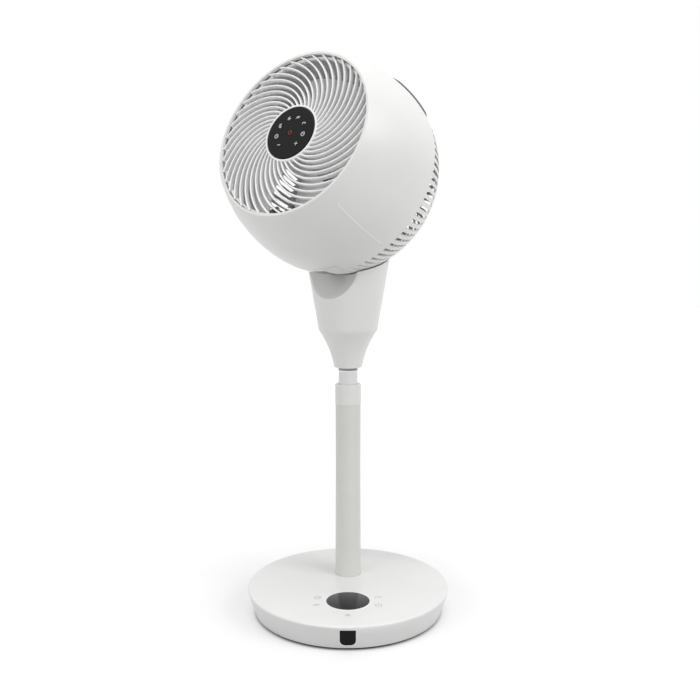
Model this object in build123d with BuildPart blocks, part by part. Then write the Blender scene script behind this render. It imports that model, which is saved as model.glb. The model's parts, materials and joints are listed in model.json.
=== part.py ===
from build123d import *
from math import acos, asin, cos, degrees, hypot, pi, radians, sin, sqrt, tan
import os

# Pedestal air circulator: a round base with a touch display, a pole that draws out, a neck
# that pans on the pole, and a round head that tilts in the neck's saddle.
# Millimetres. The origin is on the floor under the middle of the base, +Z is up and the
# base's front is at -Y. The head is turned towards -X and tilted up, as in the picture.

os.makedirs("parts", exist_ok=True)

# ------------------------------------------------------------------ driving dimensions
RUN = 0.06  # radial clearance of a running fit
GAP = 0.3  # clearance between covers

# pose in the picture
PAN_REST = 34.5  # head turned to the left of the base's front, degrees
TILT_REST = 22.6  # head tilted up from level, degrees
TILT_DOWN = 0.0  # lowest tilt from level, degrees
TILT_UP = 60.0  # highest tilt from level, degrees

# base
BASE_R = 173.4
BASE_TOP_Z = 44.0
BASE_LOW_R = 160.5
BASE_LOW_Z = 4.0
BASE_EDGE = 3.0  # rounded top edge
BASE_WALL = 2.5
FOOT_T = 2.0
FOOT_R = 9.0
FOOT_RING_R = 138.0
FOOT_COUNT = 6
PLATE_T = 3.0
BALLAST_R = 136.0
BALLAST_T = 8.0
BASE_SCREW_RING_R = 148.0
BASE_SCREW_COUNT = 6
BASE_POST_R = 5.0
SCREW_R = 2.0
SCREW_HEAD_R = 3.8
SCREW_HEAD_T = 1.8
SCREW_LENGTH = 14.0
SCREW_SOCKET_R = 1.2  # drive recess in the head
SCREW_SOCKET_SHARE = 0.6  # of the head's height
CUT_PAST = 5.0  # how far a cutting form runs past what it cuts

# display and remote sensor
DISPLAY_R = 36.0
DISPLAY_Y = -75.0
DISPLAY_T = 1.6
DISPLAY_FLANGE = 3.5
DISPLAY_MODULE = (46.0, 34.0, 6.0)
WINDOW_W = 25.5
WINDOW_LOW_Z = 9.0
WINDOW_HIGH_Z = 37.5
WINDOW_CORNER = 9.0
WINDOW_TOP_CORNER = 1.5
BOARD_W = 90.0
BOARD_L = 90.0
BOARD_T = 1.6
BOARD_POST_R = 3.0
RECEIVER = (10.0, 6.0, 14.0)

# power inlet at the back of the base
INLET_W = 20.0
INLET_H = 15.0
INLET_Z = 21.5
INLET_LENGTH = 24.0
INLET_POCKET = 9.0
INLET_WALL = 2.0
JACK_R = 3.2
JACK_DEPTH = 9.0
JACK_PIN_R = 1.0
INLET_FOOT_IN = 2.0  # the inlet's foot stops this far inside the ballast's edge

# pole
POLE_Y = 47.0
POLE_R = 22.3
POLE_WALL = 1.5
POLE_TOP_Z = 352.0
SPIGOT_WALL = 3.5
SOCKET_FLANGE_R = 38.0
SOCKET_FLANGE_T = 6.0
SOCKET_BOLT_RING_R = 30.5
SOCKET_BOLT_R = 3.0
SOCKET_BOLT_HEAD_R = 5.0
SOCKET_BOLT_HEAD_T = 4.0
SOCKET_BOLT_COUNT = 4
SOCKET_BOLT_SHORT = 1.0  # the bolts end this far above the ballast's underside
MAST_R = 16.8
MAST_WALL = 1.5
MAST_LOW_Z = 130.0
MAST_TOP_Z = 409.0
COLLAR_R = 22.9
COLLAR_H = 35.0
COLLAR_LIP = 2.5
COLLAR_EDGE = 1.6
COLLAR_MOUTH = 0.4  # clearance round the inner tube
BUSH_DEPTH = 34.0
BUSH_NECK_R = 19.4
GLIDE_H = 24.0

# neck
NECK_LOW_Z = 416.5
NECK_LOW_R = 24.5
NECK_MID_Z = 447.0
NECK_MID_R = 33.2
NECK_WAIST_Z = 481.0
NECK_WAIST_R = 51.0
NECK_SIDE_Z = 545.0
NECK_SIDE_R = 61.2
NECK_TOP_Z = 622.0
NECK_TOP_R = 74.0
NECK_WALL = 3.0
NECK_FLOOR_T = 3.0
NECK_SPLIT_Y = 22.0  # the rear cover starts here, behind the pan axis
SADDLE_GAP = 2.0
SCOOP_R = 64.0
SCOOP_Y = -84.0
SCOOP_Z = 596.0
SCOOP_EDGE = 3.5  # rounded lip

# pan drive
SPINDLE_R = 12.0
SPINDLE_BORE_R = 6.0
SPINDLE_PLUG_L = 30.0
SPINDLE_FLANGE_T = 2.0
PAN_BUSH_R = 17.0
PAN_BUSH_H = 10.0
PAN_HUB_R = 20.5
FRAME_WEB_Z = 480.0
FRAME_WEB_T = 4.0
FRAME_WEB_R = 46.0
FRAME_TOP_Z = 522.0
FRAME_TOP_T = 5.0
FRAME_TOP_R = 50.0
FRAME_POST_R = 4.0
FRAME_POST_RING_R = 38.0
FRAME_POST_ANGLES = (50.0, 130.0, 230.0, 310.0)
GEAR_MODULE = 1.0
GEAR_BACKLASH = 0.16
GEAR_PRESSURE = 20.0  # degrees
PAN_GEAR_TEETH = 40
PINION_TEETH = 16
GEAR_T = 6.0
STEPPER_R = 14.0
STEPPER_H = 19.0
STEPPER_SHAFT_R = 2.5

# tilt pivot and drive
PIVOT_Y = -39.6  # tilt axis, in front of the pan axis
PIVOT_Z = 749.2
ARM_LEAN = 13.0  # degrees back from straight down
ARM_HALF_T = 12.0
ARM_HALF_W = 11.0
ARM_BOSS_R = 17.0
ARM_FOOT_W = 52.0
ARM_FOOT_L = 44.0
ARM_FOOT_T = 5.0
ARM_SCREW_X = 20.0
ARM_SCREW_Y = 16.0
SIDE_PLAY = 0.6  # sideways clearance of the tilt pivot
TILT_BUSH_R = 9.0
TILT_BUSH_L = 8.0
AXLE_R = 6.0
AXLE_HEAD_R = 9.0
AXLE_HEAD_T = 3.0
EAR_T = 6.0
EAR_R = 15.0
BRACKET_R = 36.0
BRACKET_T = 4.0
BRACKET_SCREW_RING_R = 28.0
SECTOR_TEETH = 80
SECTOR_T = 6.0
SECTOR_MARGIN = 12.0  # degrees of teeth past each end of the travel

# head shell
HEAD_R = 172.0
SHELL_WALL = 2.5
RIM_Z = 126.0
RIM_R = 139.5
RIM_LIP = 4.0
RIM_DEPTH = 5.0
RIM_EDGE = 1.2
SEAM_Z = -27.0
LEDGE_Z = 115.0
LEDGE_T = 3.0
FLANGE_T = 3.0
FLANGE_W = 8.0
HOUSING_SCREW_ANGLES = (8.0, 172.0, 205.0, 235.0, 305.0, 335.0)
HOUSING_SCREW_RING_R = 141.0  # in the rear grille's solid ring
SCREW_TAB_HALF_W = 7.0
WELL_R = 4.6  # screwdriver hole in the rear grille
SIDE_SEAM_ANGLE = -47.5  # clock angle of the shallow line along each side of the drum
SIDE_SEAM_W = 1.2
SIDE_SEAM_DEPTH = 0.6
SIDE_SEAM_FRONT_Z = 103.0
SIDE_SEAM_BACK_Z = -14.0
DUCT_R = 130.5
DUCT_WALL = 2.0
DUCT_BACK_Z = 28.0
BELL_R = 8.0

# front grille
HUB_R = 44.6
HUB_WALL = 3.4
HUB_FRONT_Z = 125.0
HUB_BACK_Z = 112.0
DOCK_T = 4.0
GRILLE_RING_W = 4.6
GRILLE_RING_T = 3.5
BAR_COUNT = 40
BAR_W = 2.6
BAR_FRONT_Z = 124.6
BAR_BACK_Z = 116.0
BAR_SWEEP = 0.69  # degrees that a bar turns for each millimetre outwards
BAR_START = 0.9  # clock angle where the first bar leaves the hub, degrees

# rear grille
# each ring of slots: inner radius, outer radius, slots, degrees turned, first slot's angle
REAR_BANDS = (
    (31.0, 83.0, 36, -22.0, 0.0),
    (88.0, 133.0, 60, -14.0, 0.0),
    (149.0, 173.0, 84, -4.8, 1.9),
)
REAR_RIM = 4.0  # solid rim behind the seam, in front of the outer slots
REAR_SLOT_SHARE = 0.5
REAR_SLOT_MIN_W = 2.6
REAR_BORDER = 5.0  # solid margin beside the belly strip and the handle

# strip under the head that the neck's arm runs in
BELLY_HALF_W = 44.0
BELLY_FRONT_Z = -8.0
BELLY_BACK_Y = -27.0
BELLY_LIP_W = 4.0
BELLY_LIP_T = 2.5
BELLY_GAP = 1.2  # open joint round the strip
ARM_SLOT_SIDE = 2.5
ARM_SLOT_END = 2.0  # degrees past the arm's travel

# carry handle at the top of the head
HANDLE_FRONT_Z = 19.0  # at the front corners
HANDLE_MIDDLE_Z = 4.0  # in the middle of the front edge, which bows backwards
HANDLE_FRONT_HALF_W = 105.0
HANDLE_SIDE_Z = -13.0
HANDLE_HALF_W = 133.5
HANDLE_BAR_BACK_Z = -30.0
HANDLE_BACK_Z = -64.0
HANDLE_BACK_HALF_W = 116.0
HANDLE_DEPTH = 36.0
HANDLE_LOW_Y = 62.0  # lowest level of the recess at its ends
HANDLE_WALL = 2.5
HANDLE_BAR_T = 10.0
HANDLE_PROUD = 2.5  # rim and bar above the head's surface

# fan motor and impeller
MOTOR_R = 37.0
MOTOR_BACK_Z = 26.0
MOTOR_FRONT_Z = 66.0
MOTOR_EDGE = 4.0
SHAFT_R = 4.0
SHAFT_BACK_Z = 32.0
CUP_R = 46.0
CUP_FRONT_Z = 38.0
CUP_WALL = 3.0
CUP_FLOOR_T = 4.0
SPOKE_COUNT = 6
SPOKE_W = 5.0
SPOKE_FRONT_Z = 34.0
SPOKE_BACK_Z = 24.0
STATOR_RING_W = 3.0
IMPELLER_R = 127.0
IMPELLER_HUB_R = 44.0
IMPELLER_HUB_WALL = 2.2
IMPELLER_BACK_Z = 41.0
IMPELLER_FRONT_Z = 84.0
IMPELLER_BOSS_R = 10.0
IMPELLER_BOSS_L = 14.0
BLADE_COUNT = 5
BLADE_SPAN = 58.0  # degrees
BLADE_T = 2.6
BLADE_RISE = 36.0  # front edge above rear edge, along the axis
BLADE_MID_Z = 62.0
BLADE_SWEEP = 27.0  # degrees that the blade leans round between hub and tip
BLADE_TIP_ANGLE = 108.0  # clock angle of one blade's front edge at its tip
BLADE_CORNER = 18.0
BLADE_SECTIONS = 7
BLADE_OVERRUN = 0.2  # share of the blade's span that its plate runs past each edge
IMPELLER_EDGE = 5.0
NUT_R = 8.0
NUT_H = 7.0
NUT_EDGE = 1.0
SHAFT_END = 1.0  # of the motor shaft, past the nut

# remote control docked in the hub
REMOTE_R = 43.8
REMOTE_FRONT_Z = 126.0
REMOTE_EDGE = 1.2
REMOTE_WALL = 2.0
FACE_T = 2.0
KEY_R = 5.0
KEY_FLANGE = 1.2
KEY_FLANGE_T = 1.2
KEY_RING_R = 26.0
KEY_STEP = 40.0  # degrees between keys; the lowest place stays empty
KEY_PROUD = 0.3
KEY_PLAY = 0.25
BATTERY_R = 10.0
BATTERY_T = 3.2
BATTERY_COVER_R = 13.0
BATTERY_COVER_T = 1.8

# ------------------------------------------------------------------ worked-out sizes
plate_top_z = FOOT_T + PLATE_T
ballast_top_z = plate_top_z + BALLAST_T
socket_top_z = ballast_top_z + SOCKET_FLANGE_T
base_slope = (BASE_R - BASE_LOW_R) / (BASE_TOP_Z - BASE_LOW_Z)
plate_r = BASE_LOW_R - BASE_WALL - GAP
display_seat_z = BASE_TOP_Z - DISPLAY_T
inlet_back_y = BASE_LOW_R + base_slope * (INLET_Z - BASE_LOW_Z) - INLET_POCKET - BASE_WALL
pole_bore_r = POLE_R - POLE_WALL
collar_top_z = POLE_TOP_Z + COLLAR_H
mast_bore_r = MAST_R - MAST_WALL
spindle_flange_z = MAST_TOP_Z + SPINDLE_FLANGE_T
web_top_z = FRAME_WEB_Z + FRAME_WEB_T
frame_low_z = NECK_LOW_Z + RUN
pan_gear_z = web_top_z + GAP
pan_gear_top_z = pan_gear_z + GEAR_T
pan_centres = GEAR_MODULE * (PAN_GEAR_TEETH + PINION_TEETH) / 2
tilt_centres = GEAR_MODULE * (SECTOR_TEETH + PINION_TEETH) / 2
pan_motor_z = FRAME_TOP_Z - FRAME_TOP_T - STEPPER_H
ear_x = ARM_HALF_T + SIDE_PLAY
ear_out_x = ear_x + EAR_T
arm_foot_top_z = FRAME_TOP_Z + ARM_FOOT_T
arm_foot_y = PIVOT_Y + (PIVOT_Z - arm_foot_top_z) * tan(radians(ARM_LEAN))
dish_r = HEAD_R + SADDLE_GAP
drum_arc_r = (RIM_Z**2 + (HEAD_R - RIM_R) ** 2) / (2 * (HEAD_R - RIM_R))
drum_arc_x = HEAD_R - drum_arc_r
shell_r = HEAD_R - SHELL_WALL
arm_half_angle = degrees(asin(ARM_HALF_W / HEAD_R)) + ARM_SLOT_END
arm_angle_low = 90 + ARM_LEAN + TILT_DOWN  # from the head's front, towards its belly
arm_angle_rest = 90 + ARM_LEAN + TILT_REST
arm_angle_high = 90 + ARM_LEAN + TILT_UP
dock_z = HUB_BACK_Z + DOCK_T
face_z = REMOTE_FRONT_Z - FACE_T
handle_floor_r = HEAD_R - HANDLE_DEPTH
bracket_z = MOTOR_BACK_Z - CUP_FLOOR_T
housing_screws = [
    (HOUSING_SCREW_RING_R * cos(radians(angle)), HOUSING_SCREW_RING_R * sin(radians(angle)))
    for angle in HOUSING_SCREW_ANGLES
]
housing_screw_l = 2 * FLANGE_T + BRACKET_T / 2
grille_r = RIM_R - RIM_LIP - GAP
tilt_motor_y = PIVOT_Y + tilt_centres * sin(radians(ARM_LEAN))
tilt_motor_z = PIVOT_Z - tilt_centres * cos(radians(ARM_LEAN))

# places of the neck and of the head
neck_place = Plane(
    origin=(0, POLE_Y, 0),
    x_dir=(cos(radians(PAN_REST)), -sin(radians(PAN_REST)), 0),
    z_dir=(0, 0, 1),
)
level = Plane(
    origin=neck_place.from_local_coords((0, PIVOT_Y, PIVOT_Z)),
    x_dir=neck_place.x_dir,
    z_dir=-neck_place.y_dir,
)
head_place = Plane(level.location * Location((0, 0, 0), (-TILT_REST, 0, 0)))


# ------------------------------------------------------------------ small helpers
def disc(radius, low, high, x=0, y=0, mode=Mode.ADD):
    """A round block about a line along Z, from one height to another."""
    with Locations((x, y, low)):
        Cylinder(radius, high - low, align=(Align.CENTER, Align.CENTER, Align.MIN), mode=mode)


def cross_disc(radius, low, high, y=0, z=0, mode=Mode.ADD):
    """A round block about a line along X, from one side to another."""
    with Locations(Location((low, y, z), (0, 90, 0))):
        Cylinder(radius, high - low, align=(Align.CENTER, Align.CENTER, Align.MIN), mode=mode)


def block(low, high, mode=Mode.ADD):
    """A rectangular block between two corners."""
    with Locations(low):
        Box(*[b - a for a, b in zip(low, high)], align=(Align.MIN,) * 3, mode=mode)


def write(piece, name, place=Plane.XY):
    """Set a finished piece in its place, label it and write it."""
    placed = piece.part.moved(place.location)
    placed.label = name
    export_step(placed, f"parts/{name}.step")


def screw(head_r=SCREW_HEAD_R, head_t=SCREW_HEAD_T, shank_r=SCREW_R, length=SCREW_LENGTH):
    """A screw that points up, with the underside of its head at the origin."""
    with BuildPart() as piece:
        disc(head_r, -head_t, 0)
        disc(shank_r, 0, length)
        with BuildSketch(Plane.XY.offset(-head_t)):
            RegularPolygon(SCREW_SOCKET_R * head_r / SCREW_HEAD_R, 6)
        extrude(amount=head_t * SCREW_SOCKET_SHARE, mode=Mode.SUBTRACT)
    return piece.part


def gear_face(teeth, first_angle):
    """Involute outline about the origin, with a tooth centred on the given angle."""
    pitch_r = GEAR_MODULE * teeth / 2
    pressure = radians(GEAR_PRESSURE)
    base_r = pitch_r * cos(pressure)
    root_r = pitch_r - 1.25 * GEAR_MODULE
    tip_r = pitch_r + GEAR_MODULE
    start_r = max(base_r, root_r)
    half_tooth = pi / (2 * teeth) - GEAR_BACKLASH / (2 * pitch_r) + tan(pressure) - pressure
    flank = []
    for step in range(5):
        r = start_r + (tip_r - start_r) * step / 4
        roll = acos(base_r / r)
        flank.append((r, half_tooth - (tan(roll) - roll)))
    side = flank
    if root_r < base_r:
        side = [(root_r, flank[0][1])] + flank
    points = []
    for tooth in range(teeth):
        middle = radians(first_angle) + 2 * pi * tooth / teeth
        for r, half in side:
            points.append((r * cos(middle - half), r * sin(middle - half)))
        for r, half in reversed(side):
            points.append((r * cos(middle + half), r * sin(middle + half)))
    with BuildSketch() as outline:
        with BuildLine():
            Polyline(*points, close=True)
        make_face()
    return outline.sketch


# ------------------------------------------------------------------ base
def base_form(inset, low, high):
    """The base's outer form drawn in by a wall, between two heights."""

    def side_r(z):
        return BASE_LOW_R + base_slope * (z - BASE_LOW_Z) - inset

    with BuildPart() as form:
        with BuildSketch(Plane.XZ):
            with BuildLine():
                Polyline((0, low), (side_r(low), low), (side_r(high), high), (0, high), close=True)
            make_face()
        revolve(axis=Axis.Z)
    return form


base_outer = base_form(0, BASE_LOW_Z, BASE_TOP_Z)
with BuildPart() as base_skin:
    add(base_outer.part)
    fillet(base_skin.edges().group_by(Axis.Z)[-1], BASE_EDGE)
    add(base_form(BASE_WALL, BASE_LOW_Z, BASE_TOP_Z - BASE_WALL).part, mode=Mode.SUBTRACT)


def window_face(clear):
    """The sensor window's outline: a straight top and a rounded bottom."""
    corner = WINDOW_CORNER + clear
    with BuildSketch(Plane.XZ) as outline:
        with Locations((0, (WINDOW_LOW_Z + WINDOW_HIGH_Z) / 2)):
            Rectangle(WINDOW_W + 2 * clear, WINDOW_HIGH_Z - WINDOW_LOW_Z + 2 * clear)
        fillet(outline.vertices().group_by(Axis.Y)[0], corner)
        fillet(outline.vertices().group_by(Axis.Y)[-1], WINDOW_TOP_CORNER)
    return outline.sketch


inlet_half = INLET_W / 2 + INLET_WALL
with BuildPart() as inlet_frame:
    block(
        (-inlet_half, inlet_back_y - INLET_WALL, INLET_Z - INLET_H / 2 - INLET_WALL),
        (inlet_half, BASE_R, INLET_Z + INLET_H / 2 + INLET_WALL),
    )
    add(base_outer.part, mode=Mode.INTERSECT)

with BuildPart() as base_cover:
    add(base_skin.part)
    with PolarLocations(BASE_SCREW_RING_R, BASE_SCREW_COUNT):
        with Locations((0, 0, plate_top_z)):
            Cylinder(
                BASE_POST_R,
                BASE_TOP_Z - BASE_WALL - plate_top_z,
                align=(Align.CENTER, Align.CENTER, Align.MIN),
            )
            Cylinder(
                SCREW_R,
                SCREW_LENGTH,
                align=(Align.CENTER, Align.CENTER, Align.MIN),
                mode=Mode.SUBTRACT,
            )
    disc(POLE_R + GAP, BASE_TOP_Z - BASE_WALL, BASE_TOP_Z, y=POLE_Y, mode=Mode.SUBTRACT)
    disc(DISPLAY_R + GAP / 2, display_seat_z, BASE_TOP_Z, y=DISPLAY_Y, mode=Mode.SUBTRACT)
    disc(
        DISPLAY_R - DISPLAY_FLANGE,
        BASE_TOP_Z - BASE_WALL,
        BASE_TOP_Z,
        y=DISPLAY_Y,
        mode=Mode.SUBTRACT,
    )
    extrude(window_face(GAP / 2), amount=BASE_R, mode=Mode.SUBTRACT)
    add(inlet_frame.part)
    block(
        (-INLET_W / 2, inlet_back_y - INLET_WALL, INLET_Z - INLET_H / 2),
        (INLET_W / 2, BASE_R, INLET_Z + INLET_H / 2),
        mode=Mode.SUBTRACT,
    )
write(base_cover, "base_cover")

with BuildPart() as ir_window:
    add(base_skin.part)
    extrude(window_face(0), amount=BASE_R, mode=Mode.INTERSECT)
write(ir_window, "ir_window")

with BuildPart() as base_plate:
    disc(plate_r, FOOT_T, plate_top_z)
    with PolarLocations(BASE_SCREW_RING_R, BASE_SCREW_COUNT):
        with Locations((0, 0, FOOT_T)):
            Cylinder(SCREW_HEAD_R + GAP, 2 * SCREW_HEAD_T, mode=Mode.SUBTRACT)
            Cylinder(SCREW_R + GAP, 2 * PLATE_T, mode=Mode.SUBTRACT)
write(base_plate, "base_plate")

with BuildPart() as base_screws:
    with PolarLocations(BASE_SCREW_RING_R, BASE_SCREW_COUNT):
        with Locations((0, 0, FOOT_T + SCREW_HEAD_T)):
            add(screw())
write(base_screws, "base_screws")

with BuildPart() as rubber_feet:
    disc(FOOT_R, 0, FOOT_T)
    with PolarLocations(FOOT_RING_R, FOOT_COUNT):
        Cylinder(FOOT_R, FOOT_T, align=(Align.CENTER, Align.CENTER, Align.MIN))
write(rubber_feet, "rubber_feet")

with BuildPart() as ballast_plate:
    disc(BALLAST_R, plate_top_z, ballast_top_z)
    with Locations((0, POLE_Y, plate_top_z)):
        with PolarLocations(SOCKET_BOLT_RING_R, SOCKET_BOLT_COUNT, start_angle=45):
            Cylinder(SOCKET_BOLT_R, 4 * BALLAST_T, mode=Mode.SUBTRACT)
write(ballast_plate, "ballast_plate")

with BuildPart() as display_lens:
    disc(DISPLAY_R, display_seat_z, BASE_TOP_Z, y=DISPLAY_Y)
write(display_lens, "display_lens")

with BuildPart() as main_board:
    module_w, module_l, module_t = DISPLAY_MODULE
    board_top_z = display_seat_z - module_t
    block(
        (-module_w / 2, DISPLAY_Y - module_l / 2, board_top_z),
        (module_w / 2, DISPLAY_Y + module_l / 2, display_seat_z),
    )
    block(
        (-BOARD_W / 2, DISPLAY_Y - BOARD_L / 2, board_top_z - BOARD_T),
        (BOARD_W / 2, DISPLAY_Y + BOARD_L / 2, board_top_z),
    )
    with Locations((0, DISPLAY_Y, board_top_z)):
        with GridLocations(BOARD_W - 4 * BOARD_POST_R, BOARD_L - 4 * BOARD_POST_R, 2, 2):
            Cylinder(
                BOARD_POST_R,
                BASE_TOP_Z - BASE_WALL - board_top_z,
                align=(Align.CENTER, Align.CENTER, Align.MIN),
            )
write(main_board, "main_board")

with BuildPart() as ir_receiver:
    part_w, part_l, part_h = RECEIVER
    front_y = -(BASE_LOW_R + base_slope * (WINDOW_LOW_Z - BASE_LOW_Z)) + BASE_WALL
    back_y = -BALLAST_R + part_l
    foot_z = (WINDOW_LOW_Z + WINDOW_HIGH_Z - part_h) / 2
    block((-part_w / 2, front_y + GAP, foot_z), (part_w / 2, front_y + GAP + part_l, foot_z + part_h))
    block((-part_w / 2, front_y + GAP, ballast_top_z), (part_w / 2, back_y, foot_z))
write(ir_receiver, "ir_receiver")

with BuildPart() as dc_inlet:
    block(
        (-INLET_W / 2, inlet_back_y - INLET_LENGTH, INLET_Z - INLET_H / 2),
        (INLET_W / 2, inlet_back_y, INLET_Z + INLET_H / 2),
    )
    with Locations(Location((0, inlet_back_y, INLET_Z), (90, 0, 0))):
        Cylinder(JACK_R, 2 * JACK_DEPTH, mode=Mode.SUBTRACT)
        Cylinder(JACK_PIN_R, JACK_DEPTH, align=(Align.CENTER, Align.CENTER, Align.MIN))
    block(
        (-INLET_W / 2, inlet_back_y - INLET_LENGTH, ballast_top_z),
        (INLET_W / 2, BALLAST_R - INLET_FOOT_IN, INLET_Z - INLET_H / 2),
    )
write(dc_inlet, "dc_inlet")

# ------------------------------------------------------------------ pole
with BuildPart() as pole_socket:
    disc(SOCKET_FLANGE_R, ballast_top_z, socket_top_z, y=POLE_Y)
    disc(pole_bore_r - RUN, socket_top_z, MAST_LOW_Z, y=POLE_Y)
    disc(pole_bore_r - RUN - SPIGOT_WALL, ballast_top_z, MAST_LOW_Z, y=POLE_Y, mode=Mode.SUBTRACT)
    with Locations((0, POLE_Y, ballast_top_z)):
        with PolarLocations(SOCKET_BOLT_RING_R, SOCKET_BOLT_COUNT, start_angle=45):
            Cylinder(SOCKET_BOLT_R + GAP, 4 * SOCKET_FLANGE_T, mode=Mode.SUBTRACT)
write(pole_socket, "pole_socket")

with BuildPart() as pole_bolts:
    bolt = screw(
        SOCKET_BOLT_HEAD_R,
        SOCKET_BOLT_HEAD_T,
        SOCKET_BOLT_R,
        SOCKET_FLANGE_T + BALLAST_T - SOCKET_BOLT_SHORT,
    )
    with Locations((0, POLE_Y, socket_top_z)):
        with PolarLocations(SOCKET_BOLT_RING_R, SOCKET_BOLT_COUNT, start_angle=45):
            add(bolt.rotate(Axis.X, 180))
write(pole_bolts, "pole_bolts")

with BuildPart() as outer_tube:
    disc(POLE_R, socket_top_z, POLE_TOP_Z, y=POLE_Y)
    disc(pole_bore_r, socket_top_z, POLE_TOP_Z, y=POLE_Y, mode=Mode.SUBTRACT)
write(outer_tube, "outer_tube")

with BuildPart() as tube_collar:
    disc(COLLAR_R, POLE_TOP_Z, collar_top_z, y=POLE_Y)
    fillet(tube_collar.edges().group_by(Axis.Z)[-1], COLLAR_EDGE)
    disc(BUSH_NECK_R, POLE_TOP_Z, collar_top_z - COLLAR_LIP, y=POLE_Y, mode=Mode.SUBTRACT)
    disc(MAST_R + COLLAR_MOUTH, POLE_TOP_Z, collar_top_z, y=POLE_Y, mode=Mode.SUBTRACT)
write(tube_collar, "tube_collar")

with BuildPart() as collar_bush:
    disc(pole_bore_r, POLE_TOP_Z - BUSH_DEPTH, POLE_TOP_Z, y=POLE_Y)
    disc(BUSH_NECK_R, POLE_TOP_Z, collar_top_z - COLLAR_LIP, y=POLE_Y)
    disc(MAST_R + RUN, POLE_TOP_Z - BUSH_DEPTH, collar_top_z, y=POLE_Y, mode=Mode.SUBTRACT)
write(collar_bush, "collar_bush")

with BuildPart() as inner_tube:
    disc(MAST_R, MAST_LOW_Z, MAST_TOP_Z, y=POLE_Y)
    disc(mast_bore_r, MAST_LOW_Z, MAST_TOP_Z, y=POLE_Y, mode=Mode.SUBTRACT)
write(inner_tube, "inner_tube")

with BuildPart() as tube_glide:
    disc(pole_bore_r - RUN, MAST_LOW_Z, MAST_LOW_Z + GLIDE_H, y=POLE_Y)
    disc(MAST_R, MAST_LOW_Z, MAST_LOW_Z + GLIDE_H, y=POLE_Y, mode=Mode.SUBTRACT)
write(tube_glide, "tube_glide")

with BuildPart() as pan_spindle:
    disc(mast_bore_r, MAST_TOP_Z - SPINDLE_PLUG_L, MAST_TOP_Z)
    disc(MAST_R, MAST_TOP_Z, spindle_flange_z)
    disc(SPINDLE_R, spindle_flange_z, pan_gear_top_z)
    disc(SPINDLE_BORE_R, MAST_TOP_Z - SPINDLE_PLUG_L, pan_gear_top_z, mode=Mode.SUBTRACT)
write(pan_spindle, "pan_spindle", neck_place)

with BuildPart() as thrust_washer:
    disc(MAST_R, spindle_flange_z, NECK_LOW_Z)
    disc(SPINDLE_R, spindle_flange_z, NECK_LOW_Z, mode=Mode.SUBTRACT)
write(thrust_washer, "thrust_washer", neck_place)

with BuildPart() as pan_gear:
    extrude(gear_face(PAN_GEAR_TEETH, 0), amount=GEAR_T)
    Cylinder(SPINDLE_R, 3 * GEAR_T, mode=Mode.SUBTRACT)
write(pan_gear, "pan_gear", neck_place.offset(pan_gear_z))


# ------------------------------------------------------------------ neck
def on_ball(edge, centre, radius):
    """Whether an edge lies on a ball."""
    return all(abs((edge @ share - centre).length - radius) < RUN for share in (0.1, 0.5, 0.9))


def neck_form(inset, low, top_inset, scoop_edge=0.0):
    """The neck's form drawn in by a wall, with its front scoop and its saddle dish."""
    scoop_centre = Vector(0, SCOOP_Y, SCOOP_Z)
    with BuildPart() as form:
        with BuildSketch(Plane.XZ):
            with BuildLine():
                ThreePointArc(
                    (NECK_LOW_R - inset, low),
                    (NECK_MID_R - inset, NECK_MID_Z),
                    (NECK_WAIST_R - inset, NECK_WAIST_Z),
                )
                ThreePointArc(
                    (NECK_WAIST_R - inset, NECK_WAIST_Z),
                    (NECK_SIDE_R - inset, NECK_SIDE_Z),
                    (NECK_TOP_R - inset, NECK_TOP_Z),
                )
                Polyline(
                    (NECK_TOP_R - inset, NECK_TOP_Z),
                    (0, NECK_TOP_Z),
                    (0, low),
                    (NECK_LOW_R - inset, low),
                )
            make_face()
        revolve(axis=Axis.Z)
        with Locations(scoop_centre):
            Sphere(SCOOP_R + top_inset, mode=Mode.SUBTRACT)
        if scoop_edge:
            ball_edges = [
                edge for edge in form.edges() if on_ball(edge, scoop_centre, SCOOP_R + top_inset)
            ]
            fillet([edge for edge in ball_edges if edge.center().Z < SCOOP_Z], scoop_edge)
        with Locations((0, PIVOT_Y, PIVOT_Z)):
            Sphere(dish_r + top_inset, mode=Mode.SUBTRACT)
    return form.part


def arm_bar(clear, low, high):
    """The arm's straight bar, from one distance to another below the tilt axis."""
    half_t = ARM_HALF_T + clear
    half_w = ARM_HALF_W + clear
    with BuildPart() as bar:
        block((-half_t, -half_w, -high), (half_t, half_w, -low))
    lean = Location((0, PIVOT_Y, PIVOT_Z), (ARM_LEAN, 0, 0))
    return bar.part.moved(lean)


with BuildPart() as neck_shell:
    add(neck_form(0, NECK_LOW_Z, 0, SCOOP_EDGE))
    add(neck_form(NECK_WALL, NECK_LOW_Z + NECK_FLOOR_T, NECK_WALL), mode=Mode.SUBTRACT)
    disc(PAN_HUB_R + GAP, NECK_LOW_Z, NECK_LOW_Z + NECK_FLOOR_T, mode=Mode.SUBTRACT)
    add(arm_bar(GAP, ARM_BOSS_R, HEAD_R + 3 * NECK_WALL), mode=Mode.SUBTRACT)
split_plane = Plane.XZ.offset(-NECK_SPLIT_Y)
with BuildPart() as neck_front_shell:
    add(neck_shell.part)
    split(bisect_by=split_plane, keep=Keep.TOP)
write(neck_front_shell, "neck_front_shell", neck_place)

with BuildPart() as neck_rear_shell:
    add(neck_shell.part)
    split(bisect_by=split_plane, keep=Keep.BOTTOM)
write(neck_rear_shell, "neck_rear_shell", neck_place)

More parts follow.
